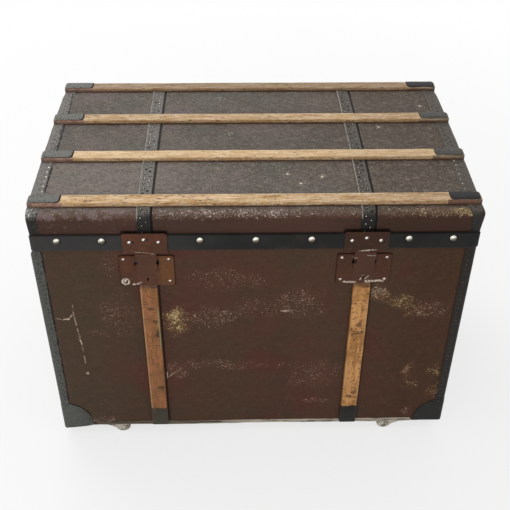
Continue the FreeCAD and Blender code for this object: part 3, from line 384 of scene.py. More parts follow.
def lid_sheen_and_dust(f, mottle):
    """The grey, rubbed top of the lid, dust and painted sheen: lilac at the left, brown at the right."""
    x, y = f.axes("XY")
    tint, smear, grain = f.noise(8, 4, 0.6), f.noise((80, 95, 95), 5, 0.72), f.noise(300, 3, 0.75)
    sheen_and_dust = f.coat(f.noise(5, 5, 0.62).step(0.34, 0.66), (82, 75, 69), (99, 91, 84))
    sheen_and_dust.over(tint.step(0.52, 0.64) * 0.5, 84, 87, 80)
    sheen_and_dust.over(tint.step(0.48, 0.36) * 0.6, 104, 89, 90)
    # Darker to the right and lighter at the front left: painted falloff of the light from the left.
    sheen_and_dust.over(x.step(0.02, 0.3) * 0.6, 75, 62, 51)
    sheen_and_dust.over(x.step(0.0, -0.22) * y.step(-0.06, -0.12) * 0.45, 122, 112, 106)
    sheen_and_dust.over(smear.step(0.5, 0.64) * 0.5, 126, 116, 105)
    sheen_and_dust.over(smear.step(0.47, 0.34) * 0.5, 60, 53, 49)
    for stretch in ((110, 360, 360), (360, 120, 120)):
        threads = f.noise(stretch, 2, 0.6)
        sheen_and_dust.over(threads.step(0.56, 0.7) * 0.4, 142, 132, 119)
        sheen_and_dust.over(threads.step(0.44, 0.32) * 0.4, 54, 47, 43)
    sheen_and_dust.over(grain.step(0.6, 0.72) * 0.5, 160, 150, 134)
    sheen_and_dust.over(grain.step(0.44, 0.32) * 0.5, 48, 42, 39)
    sheen_and_dust.over(mottle.step(0.45, 0.33) * 0.35, 54, 46, 42)
    sheen_and_dust.over(y.step(-0.09, -0.06) * 0.14, 58, 50, 42)
    chips = f.spots(f.lid_patches(LID_CHIPS, (0.016, 0.014, 0.012)), 0.735, 0.125, 230, 260, 260)
    cores = f.lid_patches(LID_CHIPS[:DEEP_CHIPS], (0.0044, 0.0042, 0.012))
    cores = (f.noise(320, 2) * 0.9 + cores).step(0.95, 1.1)
    sheen_and_dust.over(largest(chips, cores) * 0.85, f.mix(cores, (190, 178, 154), (210, 200, 182)))
    return sheen_and_dust


def lid_canvas_finish():
    """The same canvas over the lid: grey on top with dust and a painted sheen, dark and a little glossy in
    front.
    """
    f = Finish("lid_canvas_paint", specular=0.12)
    x, y, z = f.axes("XYZ")
    facing, threads, mottle = f.facing_up(), f.weave(), f.noise(170, 4, 0.65)
    coat = f.coat(f.noise(5, 5).step(0.38, 0.64), (66, 47, 38), (74, 49, 41))
    coat.over(f.noise((10, 120, 120), 4).step(0.45, 0.7) * 0.35, 52, 36, 29)
    # Darker towards the right: painted falloff of the light from the left.
    coat.over(x.step(0.1, 0.3) * 0.7, 52, 33, 24)
    # Grey with dust and a painted sheen where the canvas faces up.
    ragged = f.noise(120) * 0.8 + facing - 0.4
    coat.over(ragged.step(0.4, 0.8), lid_sheen_and_dust(f, mottle))
    # Along the front shoulder: a lighter, lilac band that is partly a painted highlight, and paint worn to
    # fine specks.
    uneven = x.step(-0.12, -0.3) * 0.06 + f.noise(150, 3, 0.7) * 1.5 + facing - 0.75
    bend = uneven.step(0.08, 0.6) * facing.step(0.99, 0.88) * y.step(0, FRONT / 2)
    coat.over(bend * 0.5, 92, 68, 51)
    lilac = f.noise(45).step(0.42, 0.6) * x.step(-0.08, -0.24)
    coat.over(bend * lilac * 0.6, 128, 112, 114)
    right_end, middle_part = x.step(0.22, 0.36), x.step(-0.22, -0.12) * x.step(0.2, -0.02)
    wear = largest(right_end, middle_part * 0.8) * 0.45 + 0.26
    wear = bend * wear * (f.noise(28, 4) * 2.6 - 0.4)
    flecks = largest(f.spots(wear, 0.69, 0.16, 480, 560, 560), f.spots(wear, 0.7, 0.16, 280, 340, 340))
    speck = f.coat(f.noise(260, 2).step(0.4, 0.6), (142, 122, 110), (222, 210, 200))
    speck.over(right_end, 176, 156, 112)
    coat.over(flecks * bend * 0.85, speck)
    # Painted shade along the slats, above the valance and above the hasp plates.
    dirt_and_shade = along_rows(y, 0.0, SLAT_HALF + 0.0012, SLAT_HALF + 0.0036)
    coat.over(dirt_and_shade * facing.step(0.5, 0.7) * 0.8, 46, 24, 19)
    above = abs(x).near(UPRIGHT_X, 0.0435, 0.0465) * z.step(VALANCE_TOP + 0.01, VALANCE_TOP + 0.007)
    coat.over(above * y.step(FRONT + 0.1, FRONT + 0.05) * 0.9, 16, 12, 11)
    above = z.step(VALANCE_TOP + 0.004, VALANCE_TOP + 0.001) * y.step(BACK - 0.001, BACK - 0.004)
    coat.over(above * 0.7, 28, 20, 17)
    # Painted shade in the gaps where the sheet-metal strips have lifted.
    gap_shade = along_bands(x, BAND_HALF + 0.0022, 0.0021, 0.0031)
    coat.over(largest(gap_shade, f.lid_gap_shade()) * 0.95, 10, 9, 9)
    return f.finish(coat, mottle * 0.3 + 0.4, threads, 0.0007)


def slat_side(f, above):
    """The paint on the sides of the lid slats; above is the height over the lid."""
    x, y = f.axes("XY")
    on_right, first_row = x.step(-0.1, 0.1), y.step(SLAT_ROWS[0] + 0.04, SLAT_ROWS[0] + 0.03)
    side = f.coat(on_right, (150, 118, 104), (142, 124, 98))
    streaks = f.noise((70, 60, 200), 4).step(0.44, 0.58)
    side.over(streaks * 0.65, f.mix(on_right, (104, 74, 64), (92, 74, 60)))
    side.over(on_right * first_row * 0.85, 88, 56, 46)
    # Painted shade along the lower edge of the slat's side.
    side.over(above.step(0.0052, 0.0034) * (on_right * 0.5 + 0.35), 84, 52, 42)
    side.over(abs(x).step(0.42, 0.432) * 0.6, 74, 64, 60)
    return side


def lid_slat_finish():
    """Old pine with golden streaks, small knots and splits, its sides painted at the ends."""
    f = Finish("lid_slat_wood", specular=0.2)
    x, y, z = f.axes("XYZ")
    gold, deep, facing = (184, 145, 94), (112, 76, 45), f.facing_up()
    grain = f.noise((14, 230, 230), 6, 0.7, 0.5)
    blotch, bits = f.noise((30, 80, 80), 5, 0.65), f.noise((150, 360, 360), 3, 0.7)
    coat = f.coat(grain.step(0.4, 0.58), gold, (222, 197, 160))
    coat.over(blotch.step(0.5, 0.6) * 0.7, *gold)
    coat.over(blotch.step(0.46, 0.38) * 0.5, 212, 174, 142)
    coat.over(f.noise((20, 250, 250), 5, 0.65).step(0.55, 0.63) * 0.65, 158, 112, 64)
    coat.over(f.noise((45, 480, 480), 4, 0.65).step(0.48, 0.36) * 0.6, *deep)
    coat.over(bits.step(0.43, 0.34) * 0.72, *deep)
    coat.over(bits.step(0.6, 0.68) * 0.45, 238, 220, 190)
    knots = f.cells((45, 130, 130)).step(0.25, 0.12) * f.noise(16, 0).step(0.47, 0.53)
    dark = largest(knots, f.noise((30, 290, 290), 4).step(0.655, 0.7))
    coat.over(dark * 0.85, 70, 44, 28)
    # Greyer towards the right as painted falloff of the light from the left; the greyer back rows are
    # weathered.
    greyed_and_shaded = largest(x.step(-0.05, 0.36) * 0.34, y.step(0.2, 0.23) * 0.42, y.step(0.03, 0.07) * 0.24)
    coat.over(greyed_and_shaded, 126, 108, 86)
    coat.over(y.step(0.2, 0.23), 222, 222, 230, blend="MULTIPLY")
    coat.over(y.near(SLAT_ROWS[1], 0.02, 0.03) * 0.25, 228, 200, 158)
    edges = largest(along_rows(y, -SLAT_HALF, 0.0002, 0.0022), along_rows(y, SLAT_HALF, 0.0002, 0.0022))
    coat.over(edges * bits.step(0.42, 0.6) * 0.6, *deep)
    across = (y - MIDDLE) * (1 / TOP_HALF)
    above = z - (across * across * -CROWN + (LID_TOP + CROWN))
    # Painted shade along the foot of each slat, where it meets the lid.
    coat.over(above.step(0.0032, 0.0014) * 0.75, 70, 36, 26)
    upper = along_rows(y, SLAT_HALF - 0.0012, 0.001, 0.0024)
    coat.over(upper * facing.step(0.5, 0.8) * 0.45, 236, 216, 184)
    painted = largest(facing.step(0.9, 0.7), along_rows(y, -SLAT_HALF, 0.0034, 0.004))
    coat.over(painted * abs(x).step(0.3665, 0.3695) * 0.92, slat_side(f, above))
    return f.finish(coat, blotch * 0.3 + 0.38, grain - dark * 0.5, 0.0008)


# Smudges on the front slats: x, z, reach sideways and reach upwards.
SLAT_SMUDGES = ((0.219, 0.338, 0.011, 0.013), (0.222, 0.316, 0.013, 0.01), (0.223, 0.134, 0.01, 0.012),
                (0.213, 0.12, 0.012, 0.008), (-0.207, 0.352, 0.012, 0.008), (-0.203, 0.318, 0.009, 0.019),
                (-0.213, 0.388, 0.014, 0.006), (-0.206, 0.155, 0.014, 0.008))


def upright_slat_finish():
    """The slats up the front and the back: varnished, crazed across the grain, and smudged."""
    f = Finish("varnished_slat_wood", specular=0.22)
    x, z = f.axes("XZ")
    golden = x.step(-0.05, 0.05)
    grain = f.noise((150, 150, 12), 4, 0.55, 0.5)
    patchy, fine = f.noise(26, 4, 0.6), f.noise(260, 3, 0.7)
    coat = f.coat(grain.step(0.34, 0.66), f.mix(golden, (118, 76, 44), (156, 109, 60)),
                  f.mix(golden, (146, 97, 57), (202, 149, 90)))
    coat.over(patchy.step(0.5, 0.6) * 0.7, f.mix(golden, (154, 98, 64), (196, 142, 92)))
    coat.over(patchy.step(0.46, 0.38) * 0.7, f.mix(golden, (112, 76, 40), (146, 98, 48)))
    coat.over(fine.step(0.46, 0.34) * 0.45, 96, 60, 34)
    coat.over(fine.step(0.56, 0.68) * 0.35, 196, 150, 104)
    crazing = f.noise((60, 60, 330), 4, 0.65).step(0.565, 0.595) * f.noise(19, 2).step(0.47, 0.53)
    coat.over(crazing * 0.78, 66, 34, 20)
    specks = f.cells(90).step(0.26, 0.14) * f.noise(30, 1).step(0.5, 0.58)
    coat.over(specks * 0.7, 62, 36, 22)
    smudge = largest(*f.front_patches(SLAT_SMUDGES)) * 0.36 + f.noise(170, 4, 0.7)
    coat.over(smudge.step(0.69, 0.75) * 0.68, 58, 38, 24)
    # Painted shade down the slats' sides.
    coat.over(abs(abs(x) - UPRIGHT_X).near(UPRIGHT_HALF, 0.0004, 0.0016) * 0.55, 70, 44, 28)
    # A painted highlight down the left slat's left edge.
    coat.over(x.near(-0.2305, 0.0006, 0.0018) * 0.45, 190, 148, 110)
    coat.over(x.near(-0.1995, 0.0008, 0.002) * z.near(0.33, 0.045, 0.065) * 0.65, 146, 140, 100)
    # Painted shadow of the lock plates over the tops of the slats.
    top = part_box("front_slat_right")[1].z
    coat.over(z.step(top - 0.012, top - 0.002) * 0.65, 52, 34, 24)
    return f.finish(coat, fine * 0.3 + 0.32, grain, 0.0006)


def board_finish():
    """Plain sawn boards."""
    f = Finish("board_wood", specular=0.25)
    fine = f.noise((30, 400, 400), 4)
    coat = f.coat(f.noise((7, 90, 90), 5, 0.6, 0.5).step(0.35, 0.65), (140, 104, 68), (176, 140, 98))
    coat.over(fine.step(0.45, 0.32) * 0.5, 84, 60, 40)
    return f.finish(coat, fine * 0.2 + 0.55, fine, 0.0005)


def lining_finish():
    """Aged paper: a fine crossed ground, foxed, rubbed pale in places and stained by damp low down."""
    f = Finish("lining_paper", specular=0.15)
    x, z = f.axes("XZ")
    fibres, cloud = f.weave(0.0011), f.noise(30, 5, 0.7)
    coat = f.coat(f.noise(3.2, 7, 0.7).step(0.36, 0.66), (172, 150, 114), (198, 181, 146))
    coat.over(cloud.step(0.52, 0.68) * 0.35, 150, 122, 84)
    coat.over(cloud.step(0.42, 0.3) * 0.3, 214, 200, 168)
    damp, inside = f.noise(5, 6, 0.6) * 0.09 + z, abs(x).step(END - 0.001, END - 0.004)
    coat.over(inside * damp.step(BASE + 0.125, BASE + 0.115) * 0.34, 132, 104, 70)
    coat.over(inside * damp.near(BASE + 0.12, 0.001, 0.0045) * 0.45, 112, 82, 52)
    coat.over(f.spots(f.noise(6).step(0.4, 0.66), 0.72, 0.07, 150, 150, 150) * 0.55, 122, 84, 48)
    coat.over(fibres.step(0.48, 0.4) * 0.25, 128, 108, 80)
    return f.finish(coat, 0.8, fibres, 0.0004)


def band_finish():
    """Black leathercloth, with its grain and a few rubbed places."""
    f = Finish("band_leathercloth", specular=0.1)
    x, z = f.axes("XZ")
    cloud = f.noise(14, 5, 0.6)
    coat = f.coat(cloud.step(0.4, 0.64), (30, 31, 30), (41, 42, 39))
    coat.over(f.noise(30).step(0.54, 0.68) * 0.5, 46, 36, 34)
    # Darker to the right and lighter to the left: painted falloff of the light from the left.
    coat.over(x.step(0.2, 0.36) * 0.5, 24, 24, 25)
    coat.over(x.step(0.05, -0.4) * 0.6, 64, 62, 62)
    coat.over(f.spots(f.noise(5).step(0.52, 0.7), 0.74, 0.06, 220, 220, 300) * 0.6, 88, 82, 74)
    lower_edge = z.near(VALANCE_LOW, 0.0006, 0.0022) * f.noise(60).step(0.45, 0.6)
    coat.over(lower_edge * 0.5, 84, 62, 52)
    return f.finish(coat, cloud * 0.25 + 0.32, f.cells(620), 0.0002)


def iron_sheen_and_dust(f, cloud, mottle, on_bands, caps, outer_rows):
    """The grey of dust and painted sheen on sheet metal that faces up."""
    x = f.axis("X")
    # Lighter to the left, the bands and the right-hand caps darker: painted falloff of the light from the
    # left.
    sheen_and_dust = f.coat(x.step(0.36, -0.36), (86, 78, 70), (112, 106, 100))
    sheen_and_dust.over(cloud.step(0.46, 0.34) * 0.5, 92, 90, 85)
    sheen_and_dust.over(on_bands * (x.step(-0.05, 0.05) * 0.18 + 0.1), 62, 58, 54)
    sheen_and_dust.over(caps * x.step(-0.3, -0.36) * 0.65, 94, 97, 92)
    sheen_and_dust.over(caps * x.step(0.3, 0.36) * 0.9, f.mix(outer_rows, (70, 67, 62), (34, 34, 34)))
    sheen_and_dust.over(mottle.step(0.5, 0.36) * 0.7, 42, 39, 36)
    sheen_and_dust.over(mottle.step(0.54, 0.68) * 0.4, 134, 128, 119)
    return sheen_and_dust


def iron_finish():
    """Black japanned sheet: grey with dust and painted sheen where it faces up, and rubbed to metal in
    places.
    """
    f = Finish("black_iron_paint", specular=0.2)
    x, y, z = f.axes("XYZ")
    facing, cloud, mottle = f.facing_up(), f.noise(26, 6, 0.68), f.noise(240, 4, 0.7)
    on_bands, outer_rows = abs(x).step(0.34, 0.3), abs(y).step(0.14, 0.2)
    caps = z.step(LID_TOP + CROWN + 0.002, LID_TOP + CROWN + 0.004)
    in_front = y.step(FRONT + 0.1, FRONT + 0.05)
    coat = f.coat(cloud.step(0.4, 0.62), (26, 25, 24), (40, 37, 33))
    # The grey of dust and painted sheen where the sheet faces up.
    coat.over(facing.step(0.35, 0.85) * 0.85, iron_sheen_and_dust(f, cloud, mottle, on_bands, caps, outer_rows))
    # Painted falloff of the light on the right: outer caps near black, the right band's sides darker.
    coat.over(caps * x.step(0.3, 0.36) * outer_rows * 0.75, 17, 17, 18)
    coat.over(x.step(0.05, 0.15) * on_bands * facing.step(0.75, 0.25) * 0.75, 18, 14, 12)
    # A painted highlight along the bead at each band's left edge.
    bead = along_bands(x, -BAND_HALF + 0.0012, 0.0012, 0.002)
    coat.over(bead * facing.step(0.0, 0.4) * mottle.step(0.34, 0.46) * 0.75, 166, 160, 150)
    # The left binding is painted lighter, as lit from the left; the foot sheets are brown at the left, dark
    # at the right.
    left = in_front * x.step(-0.35, -0.42) * z.step(RIM + 0.01, RIM - 0.03)
    coat.over(left * 0.66, 94, 96, 91)
    notches = f.noise((110, 110, 260), 3, 0.7)
    coat.over(left * notches.step(0.52, 0.6) * 0.6, 44, 44, 43)
    coat.over(left * notches.step(0.42, 0.34) * 0.35, 122, 120, 116)
    foot = in_front * x.step(-0.05, -0.12) * z.step(BASE + 0.07, BASE + 0.05)
    coat.over(foot * 0.5, f.mix(x.step(-0.28, -0.34), (76, 69, 54), (83, 82, 76)))
    foot_edge = abs(abs(x) - UPRIGHT_X).near(0.017, 0.0014, 0.0034) * in_front * z.step(0.095, 0.091)
    coat.over(foot_edge * 0.7, 74, 54, 42)
    # Darker at the right end and the right foot: painted falloff of the light from the left.
    coat.over(x.step(0.39, 0.42) * z.step(RIM, RIM - 0.03) * 0.6, 30, 23, 18)
    coat.over(x.step(0.05, 0.12) * z.step(BASE + 0.08, BASE + 0.06) * 0.75, 22, 21, 19)
    coat.over(mottle.step(0.46, 0.34) * 0.55, 20, 19, 18)
    corner = f.patch((-END - 0.004, FRONT + 0.006, LID_TOP - 0.002), (0.028, 0.022, 0.018))
    coat.over(corner * mottle.step(0.38, 0.56) * 0.6, 128, 128, 124)
    coat.over(f.spots(corner, 0.72, 0.16, 200, 200, 200) * 0.8, 220, 218, 212)
    corner = f.patch((END + 0.006, FRONT + 0.006, LID_TOP - 0.004), (0.03, 0.018, 0.016))
    coat.over(f.spots(corner, 0.76, 0.1, 200, 200, 200) * 0.4, 120, 118, 112)
    # Painted shade in the gaps beside the lid's left binding.
    coat.over(f.lid_gap_shade() * 0.95, 10, 9, 9)
    return f.finish(coat, mottle * 0.35 + 0.3, mottle, 0.0006)


# Pale dabs and scrapes on the locks, the 4th to 6th painted highlights on the hasps: x and z of each end,
# the width, and how strong.
LOCK_DABS_AND_HIGHLIGHTS = ((-0.244, 0.45, -0.229, 0.453, 0.0052, 1.0), (0.178, 0.4512, 0.2, 0.45, 0.0044, 0.8),
             (0.222, 0.4522, 0.257, 0.4536, 0.0058, 0.85), (0.2015, 0.5325, 0.235, 0.5355, 0.0032, 0.7),
             (0.219, 0.5205, 0.237, 0.52, 0.0022, 0.45), (-0.2345, 0.5345, -0.1965, 0.5305, 0.002, 0.45),
             (0.21, 0.457, 0.215, 0.467, 0.003, 0.6), (0.22, 0.459, 0.2265, 0.4665, 0.003, 0.55),
             (0.19, 0.515, 0.201, 0.515, 0.002, 0.45))
# Dark places on the locks, painted shade round the side holes and dark spots by rivets: x, z, reach across
# and up.
LOCK_HOLES = ((0.1965, 0.5055, 0.0052, 0.0075), (-0.193, 0.507, 0.0048, 0.008),
              (-0.2335, 0.5065, 0.0036, 0.006), (-0.238, 0.559, 0.0042, 0.004),
              (-0.2098, 0.564, 0.0042, 0.0036), (0.249, 0.555, 0.004, 0.0038))


def lock_finish():
    """Brown paint over steel, rusting through, with dabs of pale paint and painted highlights on the hasps'
    knuckles.
    """
    f = Finish("lock_paint_brown", specular=0.18)
    x, z = f.axes("XZ")
    fine, on_right = f.noise(240, 4, 0.7), x.step(0, 0.05)
    coat = f.coat(f.noise(24, 6, 0.66).step(0.38, 0.64), (74, 42, 25), (90, 50, 30))
    # Darker on the right: painted falloff of the light from the left.
    coat.over(on_right * 0.6, 60, 32, 17)
    coat.over(on_right * z.step(VALANCE_LOW - 0.008, VALANCE_LOW) * 0.8, 47, 24, 12)
    coat.over(x.step(-0.2, -0.182) * x.step(-0.1, -0.16) * z.step(0.524, 0.516) * 0.75, 106, 68, 36)
    coat.over(fine.step(0.47, 0.34) * 0.62, 42, 28, 23)
    coat.over(fine.step(0.58, 0.7) * 0.42, 118, 88, 68)
    coat.over(abs(x).near(0.214, 0.019, 0.021) * z.step(0.536, 0.53) * 0.18, 82, 62, 52)
    for *line, strength in LOCK_DABS_AND_HIGHLIGHTS:
        coat.over(f.scratch(*line) * fine.step(0.4, 0.5) * strength, 206, 192, 172)
    ring = f.ring(-0.2595, 0.457, 0.0068, 0.001, 0.0024)
    coat.over(ring * fine.step(0.36, 0.5) * 0.9, 212, 198, 180)
    coat.over(largest(*f.front_patches(LOCK_HOLES)).step(0.15, 0.65), 18, 12, 10)
    rough = fine * 0.3 + z.step(VALANCE_LOW, VALANCE_LOW - 0.02) * 0.08 + 0.26
    return f.finish(coat, rough, fine, 0.0006)


def metal_finish(name, clean, stained, roughness, tarnish, scale):
    """Bare or plated metal, dulled in clouds and pitted."""
    f = Finish(name, metallic=1.0)
    cloud = f.noise(scale, 5, 0.65)
    coat = f.mix(cloud.step(0.44, 0.6) * tarnish, clean, stained)
    return f.finish(coat, cloud * 0.35 + (roughness - 0.12), f.noise(400), 0.0002)


def nail_finish(name, bright, dull, metallic, worn, lit):
    """A domed head with a painted highlight on the side that faces lit, and painted shade round it."""
    f = Finish(name, metallic=metallic)
    upper = f.vector("DOT_PRODUCT", f.normal, Vector(lit).normalized(), output=1)
    fine = f.noise(500)
    # Painted light: bright where the head faces lit, dull where it turns away; worn sets where between.
    coat = f.mix((fine * 0.5 + upper - 0.25).step(*worn), dull, bright)
    return f.finish(coat, fine * 0.2 + 0.14, fine, 0.0002)


def tin_finish():
    """The tin's edge: tarnished dark at the left, and streaked along its length."""
    f = Finish("tin_plate", metallic=0.6)
    streaks = f.noise((24, 24, 520), 4, 0.6)
    coat = f.coat(f.axis("X").step(-0.16, 0.02), (104, 92, 80), (178, 170, 154))
    coat.over(streaks.step(0.5, 0.58) * 0.85, 52, 42, 35)
    return f.finish(coat, streaks * 0.3 + 0.3, streaks, 0.0006)


def caster_finish():
    """Tarnished steel, with painted shade on the faces that turn down."""
    f = Finish("caster_steel", metallic=0.8)
    cloud = f.noise(90, 4, 0.65)
    coat = f.coat(cloud.step(0.46, 0.56) * 0.8, (200, 192, 178), (78, 64, 54))
    # Painted shade on the faces that turn down.
    coat.over((cloud * 0.8 + f.facing_up() - 0.4).step(0.1, -0.45) * 0.9, 58, 46, 40)
    return f.finish(coat, cloud * 0.35 + 0.16, cloud, 0.0004)


def leather_finish():
    """Handle leather: pebbled, dark in the creases."""
    f = Finish("handle_leather", specular=0.35)
    pebble, cloud = f.cells(520), f.noise(38, 5, 0.6)
    coat = f.coat(cloud.step(0.38, 0.66), (70, 44, 30), (104, 70, 46))
    coat.over(pebble.step(0.25, 0.05) * 0.4, 44, 28, 20)
    return f.finish(coat, cloud * 0.3 + 0.32, pebble, 0.0004)


def dirt_and_shade_finish():
    """Black grime round heads, and painted shade under edges and round the tacks' dimples."""
    f = Finish("dirt_and_shade", specular=0.08)
    cloud = f.noise(160, 4)
    return f.finish(f.mix(cloud.step(0.4, 0.62), (17, 15, 14), (34, 28, 25)), 0.8, cloud, 0.0003)


MATERIALS = {
    "body_canvas": body_canvas_finish(),
    "lid_canvas": lid_canvas_finish(),
    "slat_wood": lid_slat_finish(),
    "front_slat_wood": upright_slat_finish(),
    "board_wood": board_finish(),
    "lining": lining_finish(),
    "valance": band_finish(),
    "black_iron": iron_finish(),
    "lock_paint": lock_finish(),
    "nickel": nail_finish("nickel_plate", (228, 224, 212), (84, 78, 66), 1.0, (-0.05, 0.72),
                          (-0.3, -0.1, 0.95)),
    "rivet": nail_finish("rivet_head", (250, 240, 232), (58, 34, 27), 0.2, (0.62, 0.98),
                         (-0.45, -0.65, 0.61)),
    "lock_nail": nail_finish("lock_nail_head", (214, 192, 178), (62, 40, 32), 0.3, (0.66, 1.0),
                             (-0.2, -0.75, 0.63)),
    "steel": metal_finish("bare_steel", (176, 172, 164), (92, 80, 66), 0.34, 0.5, 70),
    "caster": caster_finish(),
    "tin": tin_finish(),
    "leather": leather_finish(),
    "tack": metal_finish("tack_head", (196, 192, 182), (90, 84, 76), 0.28, 0.8, 200),
    "dark_tack": metal_finish("dark_tack_head", (84, 80, 75), (34, 32, 30), 0.36, 0.9, 200),
    "dirt_and_shade": dirt_and_shade_finish(),
}


# ---------------------------------------------------------------- shapes
class Shape:
    """Collects points and faces, and becomes one piece."""

    def __init__(self, *skins):
        self.points, self.faces = [], []
        for rings in skins:
            self.loft(rings)

    def join_rows(self, start, rows, count):
        """Faces between rings of as many points each."""
        for row in range(rows - 1):
            for k in range(count):
                a, b = start + row * count + k, start + row * count + (k + 1) % count
                self.faces.append((a, b, b + count, a + count))

    def loft(self, rings):
        """A skin through closed rings, shut at both ends."""
        start, count = len(self.points), len(rings[0])
        for ring in rings:
            self.points += [tuple(p) for p in ring]
        self.join_rows(start, len(rings), count)
        self.faces.append(tuple(range(start + count - 1, start - 1, -1)))
        self.faces.append(tuple(range(len(self.points) - count, len(self.points))))

    def dome(self, centre, normal, radius, rise, sides=8, rows=2, turn=0.0):
        """A domed head on the surface through centre."""
        centre, normal = Vector(centre), Vector(normal).normalized()
        side = normal.orthogonal().normalized()
        other = normal.cross(side)
        start = len(self.points)
        for row in range(rows):
            angle = row / rows * math.pi / 2
            for k in range(sides):
                around = 2 * math.pi * k / sides + turn
                flat = side * math.cos(around) + other * math.sin(around)
                self.points.append(tuple(centre + flat * radius * math.cos(angle)
                                         + normal * rise * math.sin(angle)))
        self.points.append(tuple(centre + normal * rise))
        self.join_rows(start, rows, sides)
        top, last = len(self.points) - 1, start + (rows - 1) * sides
        for k in range(sides):
            self.faces.append((last + k, last + (k + 1) % sides, top))
        self.faces.append(tuple(range(start + sides - 1, start - 1, -1)))

    def make(self, name, material, body, slot=None, replaces=None):
        mesh = bpy.data.meshes.new(name)
        mesh.from_pydata(self.points, [], self.faces)
        settle(mesh, name, material, body, replaces, 40)


def settle(mesh, name, material, body, replaces, sharp):
    """Tidies a mesh, makes its object and hands it to its body; edges over sharp degrees stay sharp."""
    work = bmesh.new()
    work.from_mesh(mesh)
    bmesh.ops.recalc_face_normals(work, faces=work.faces)
    work.to_mesh(mesh)
    work.free()
    mesh.materials.clear()
    mesh.materials.append(MATERIALS[material])
    mesh.shade_smooth()
    mesh.set_sharp_from_angle(angle=math.radians(sharp))
    piece = bpy.data.objects.new(name, mesh)
    bpy.context.scene.collection.objects.link(piece)
    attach(piece, body)
    if replaces:
        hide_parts(replaces)


def refined(node, material, body, bevel):
    """A CAD node's form with its flat faces whole again and its edges softened."""
    work = bmesh.new()
    work.from_mesh(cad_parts[node].data)
    bmesh.ops.remove_doubles(work, verts=work.verts, dist=1e-6)
    bmesh.ops.dissolve_limit(work, angle_limit=math.radians(2), verts=work.verts, edges=work.edges)
    bmesh.ops.recalc_face_normals(work, faces=work.faces)
    edges = [e for e in work.edges if len(e.link_faces) == 2 and e.calc_face_angle(0) > math.radians(40)]
    bmesh.ops.bevel(work, geom=edges, offset=bevel, segments=2, profile=0.6, affect="EDGES",
                    clamp_overlap=True)
    mesh = bpy.data.meshes.new(node + "_piece")
    work.to_mesh(mesh)
    work.free()
    settle(mesh, node + "_piece", material, body, node, 50)


def lid_outline(front_low, back_low, lift=0.0):
    """Places and outward normals up the lid's front, over its top and down its back."""
    centre_z = LID_TOP - SHOULDER

    def shoulder(centre_y, sixteenths):
        for k in sixteenths:
            angle = math.pi * (1 - k / 16)
            out, up = math.cos(angle), math.sin(angle)
            yield centre_y + SHOULDER * out, centre_z + SHOULDER * up, (0, out, up)

    line = [(FRONT, z, (0, -1, 0)) for z in evenly(front_low, centre_z, 4)[:-1]]
    line += shoulder(FRONT + SHOULDER, range(8))
    line += [(MIDDLE + TOP_HALF * t, LID_TOP + CROWN * (1 - t * t), (0, 2 * CROWN * t / TOP_HALF, 1))
             for t in evenly(-1, 1, 44)]
    line += shoulder(BACK - SHOULDER, range(9, 17))
    line += [(BACK, z, (0, 1, 0)) for z in evenly(centre_z, back_low, 4)[1:]]
    line = [(Vector((0, y, z)), Vector(normal).normalized()) for y, z, normal in line]
    return [(place + normal * lift, normal) for place, normal in line]


def crown_height(y):
    return LID_TOP + CROWN * (1 - ((y - MIDDLE) / TOP_HALF) ** 2)


# ---------------------------------------------------------------- wooden slats
def eased(left, right, top, soft):
    """Across and up over a bar's face, both its edges rounded by soft in three steps."""
    edge = [(soft * (1 - math.cos(turn)), soft * (1 - math.sin(turn)))
            for turn in evenly(0, math.pi / 2, 3)]
    return ([(left + inward, top - down) for inward, down in edge]
            + [(right - inward, top - down) for inward, down in reversed(edge)])


def lid_slats():
    for number, y in enumerate(SLAT_ROWS, 1):
        node = "lid_slat_%d" % number
        low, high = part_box(node)
        half = (high.y - low.y) / 2
        rings = []
        for x in evenly(low.x, high.x, 120):
            front = y - half - wobble(number, x, 9, 0.0006) - wobble(number + 40, x, 60, 0.0003)
            back = y + half + wobble(number + 10, x, 9, 0.0006) + wobble(number + 50, x, 60, 0.0003)
            rise = high.z + wobble(number + 20, x, 12, 0.0004) - 0.0004
            soft = 0.003 + abs(wobble(number + 30, x, 25, 0.0012))
            face = eased(front, back, rise, soft)
            face[4:4] = [(y - half / 3, rise + wobble(number + 60, x, 40, 0.0002)),
                         (y + half / 3, rise + wobble(number + 70, x, 40, 0.0002))]
            feet = (front, crown_height(y - half) + 0.0002), (back, crown_height(y + half) + 0.0002)
            rings.append([(x, *point) for point in (feet[0], *face, feet[1])])
        Shape(rings).make(node + "_wood", "slat_wood", "lid", replaces=node)


def upright_slat(seed, x, low, high, face, toward):
    """Rings up a slat on the front or the back; toward is -1 in front and 1 behind."""
    wall = FRONT if toward < 0 else BACK
    rings = []
    for z in evenly(low, high, 90):
        left = x - UPRIGHT_HALF - wobble(seed, z, 10, 0.0006) - wobble(seed + 5, z, 70, 0.0003)
        right = x + UPRIGHT_HALF + wobble(seed + 10, z, 10, 0.0006) + wobble(seed + 15, z, 70, 0.0003)
        outer = face - toward * 0.0003 + wobble(seed + 20, z, 14, 0.0003)
        to_top = (high - z) / 0.006
        if to_top < 1:
            outer = wall + (outer - wall) * (0.25 + 0.75 * to_top)
        rim = eased(left, right, 0.0, min(0.0024, abs(outer - wall) * 0.6))
        face_points = [(across, outer + toward * up, z) for across, up in rim]
        rings.append([(left, wall, z), *face_points, (right, wall, z)])
    return rings


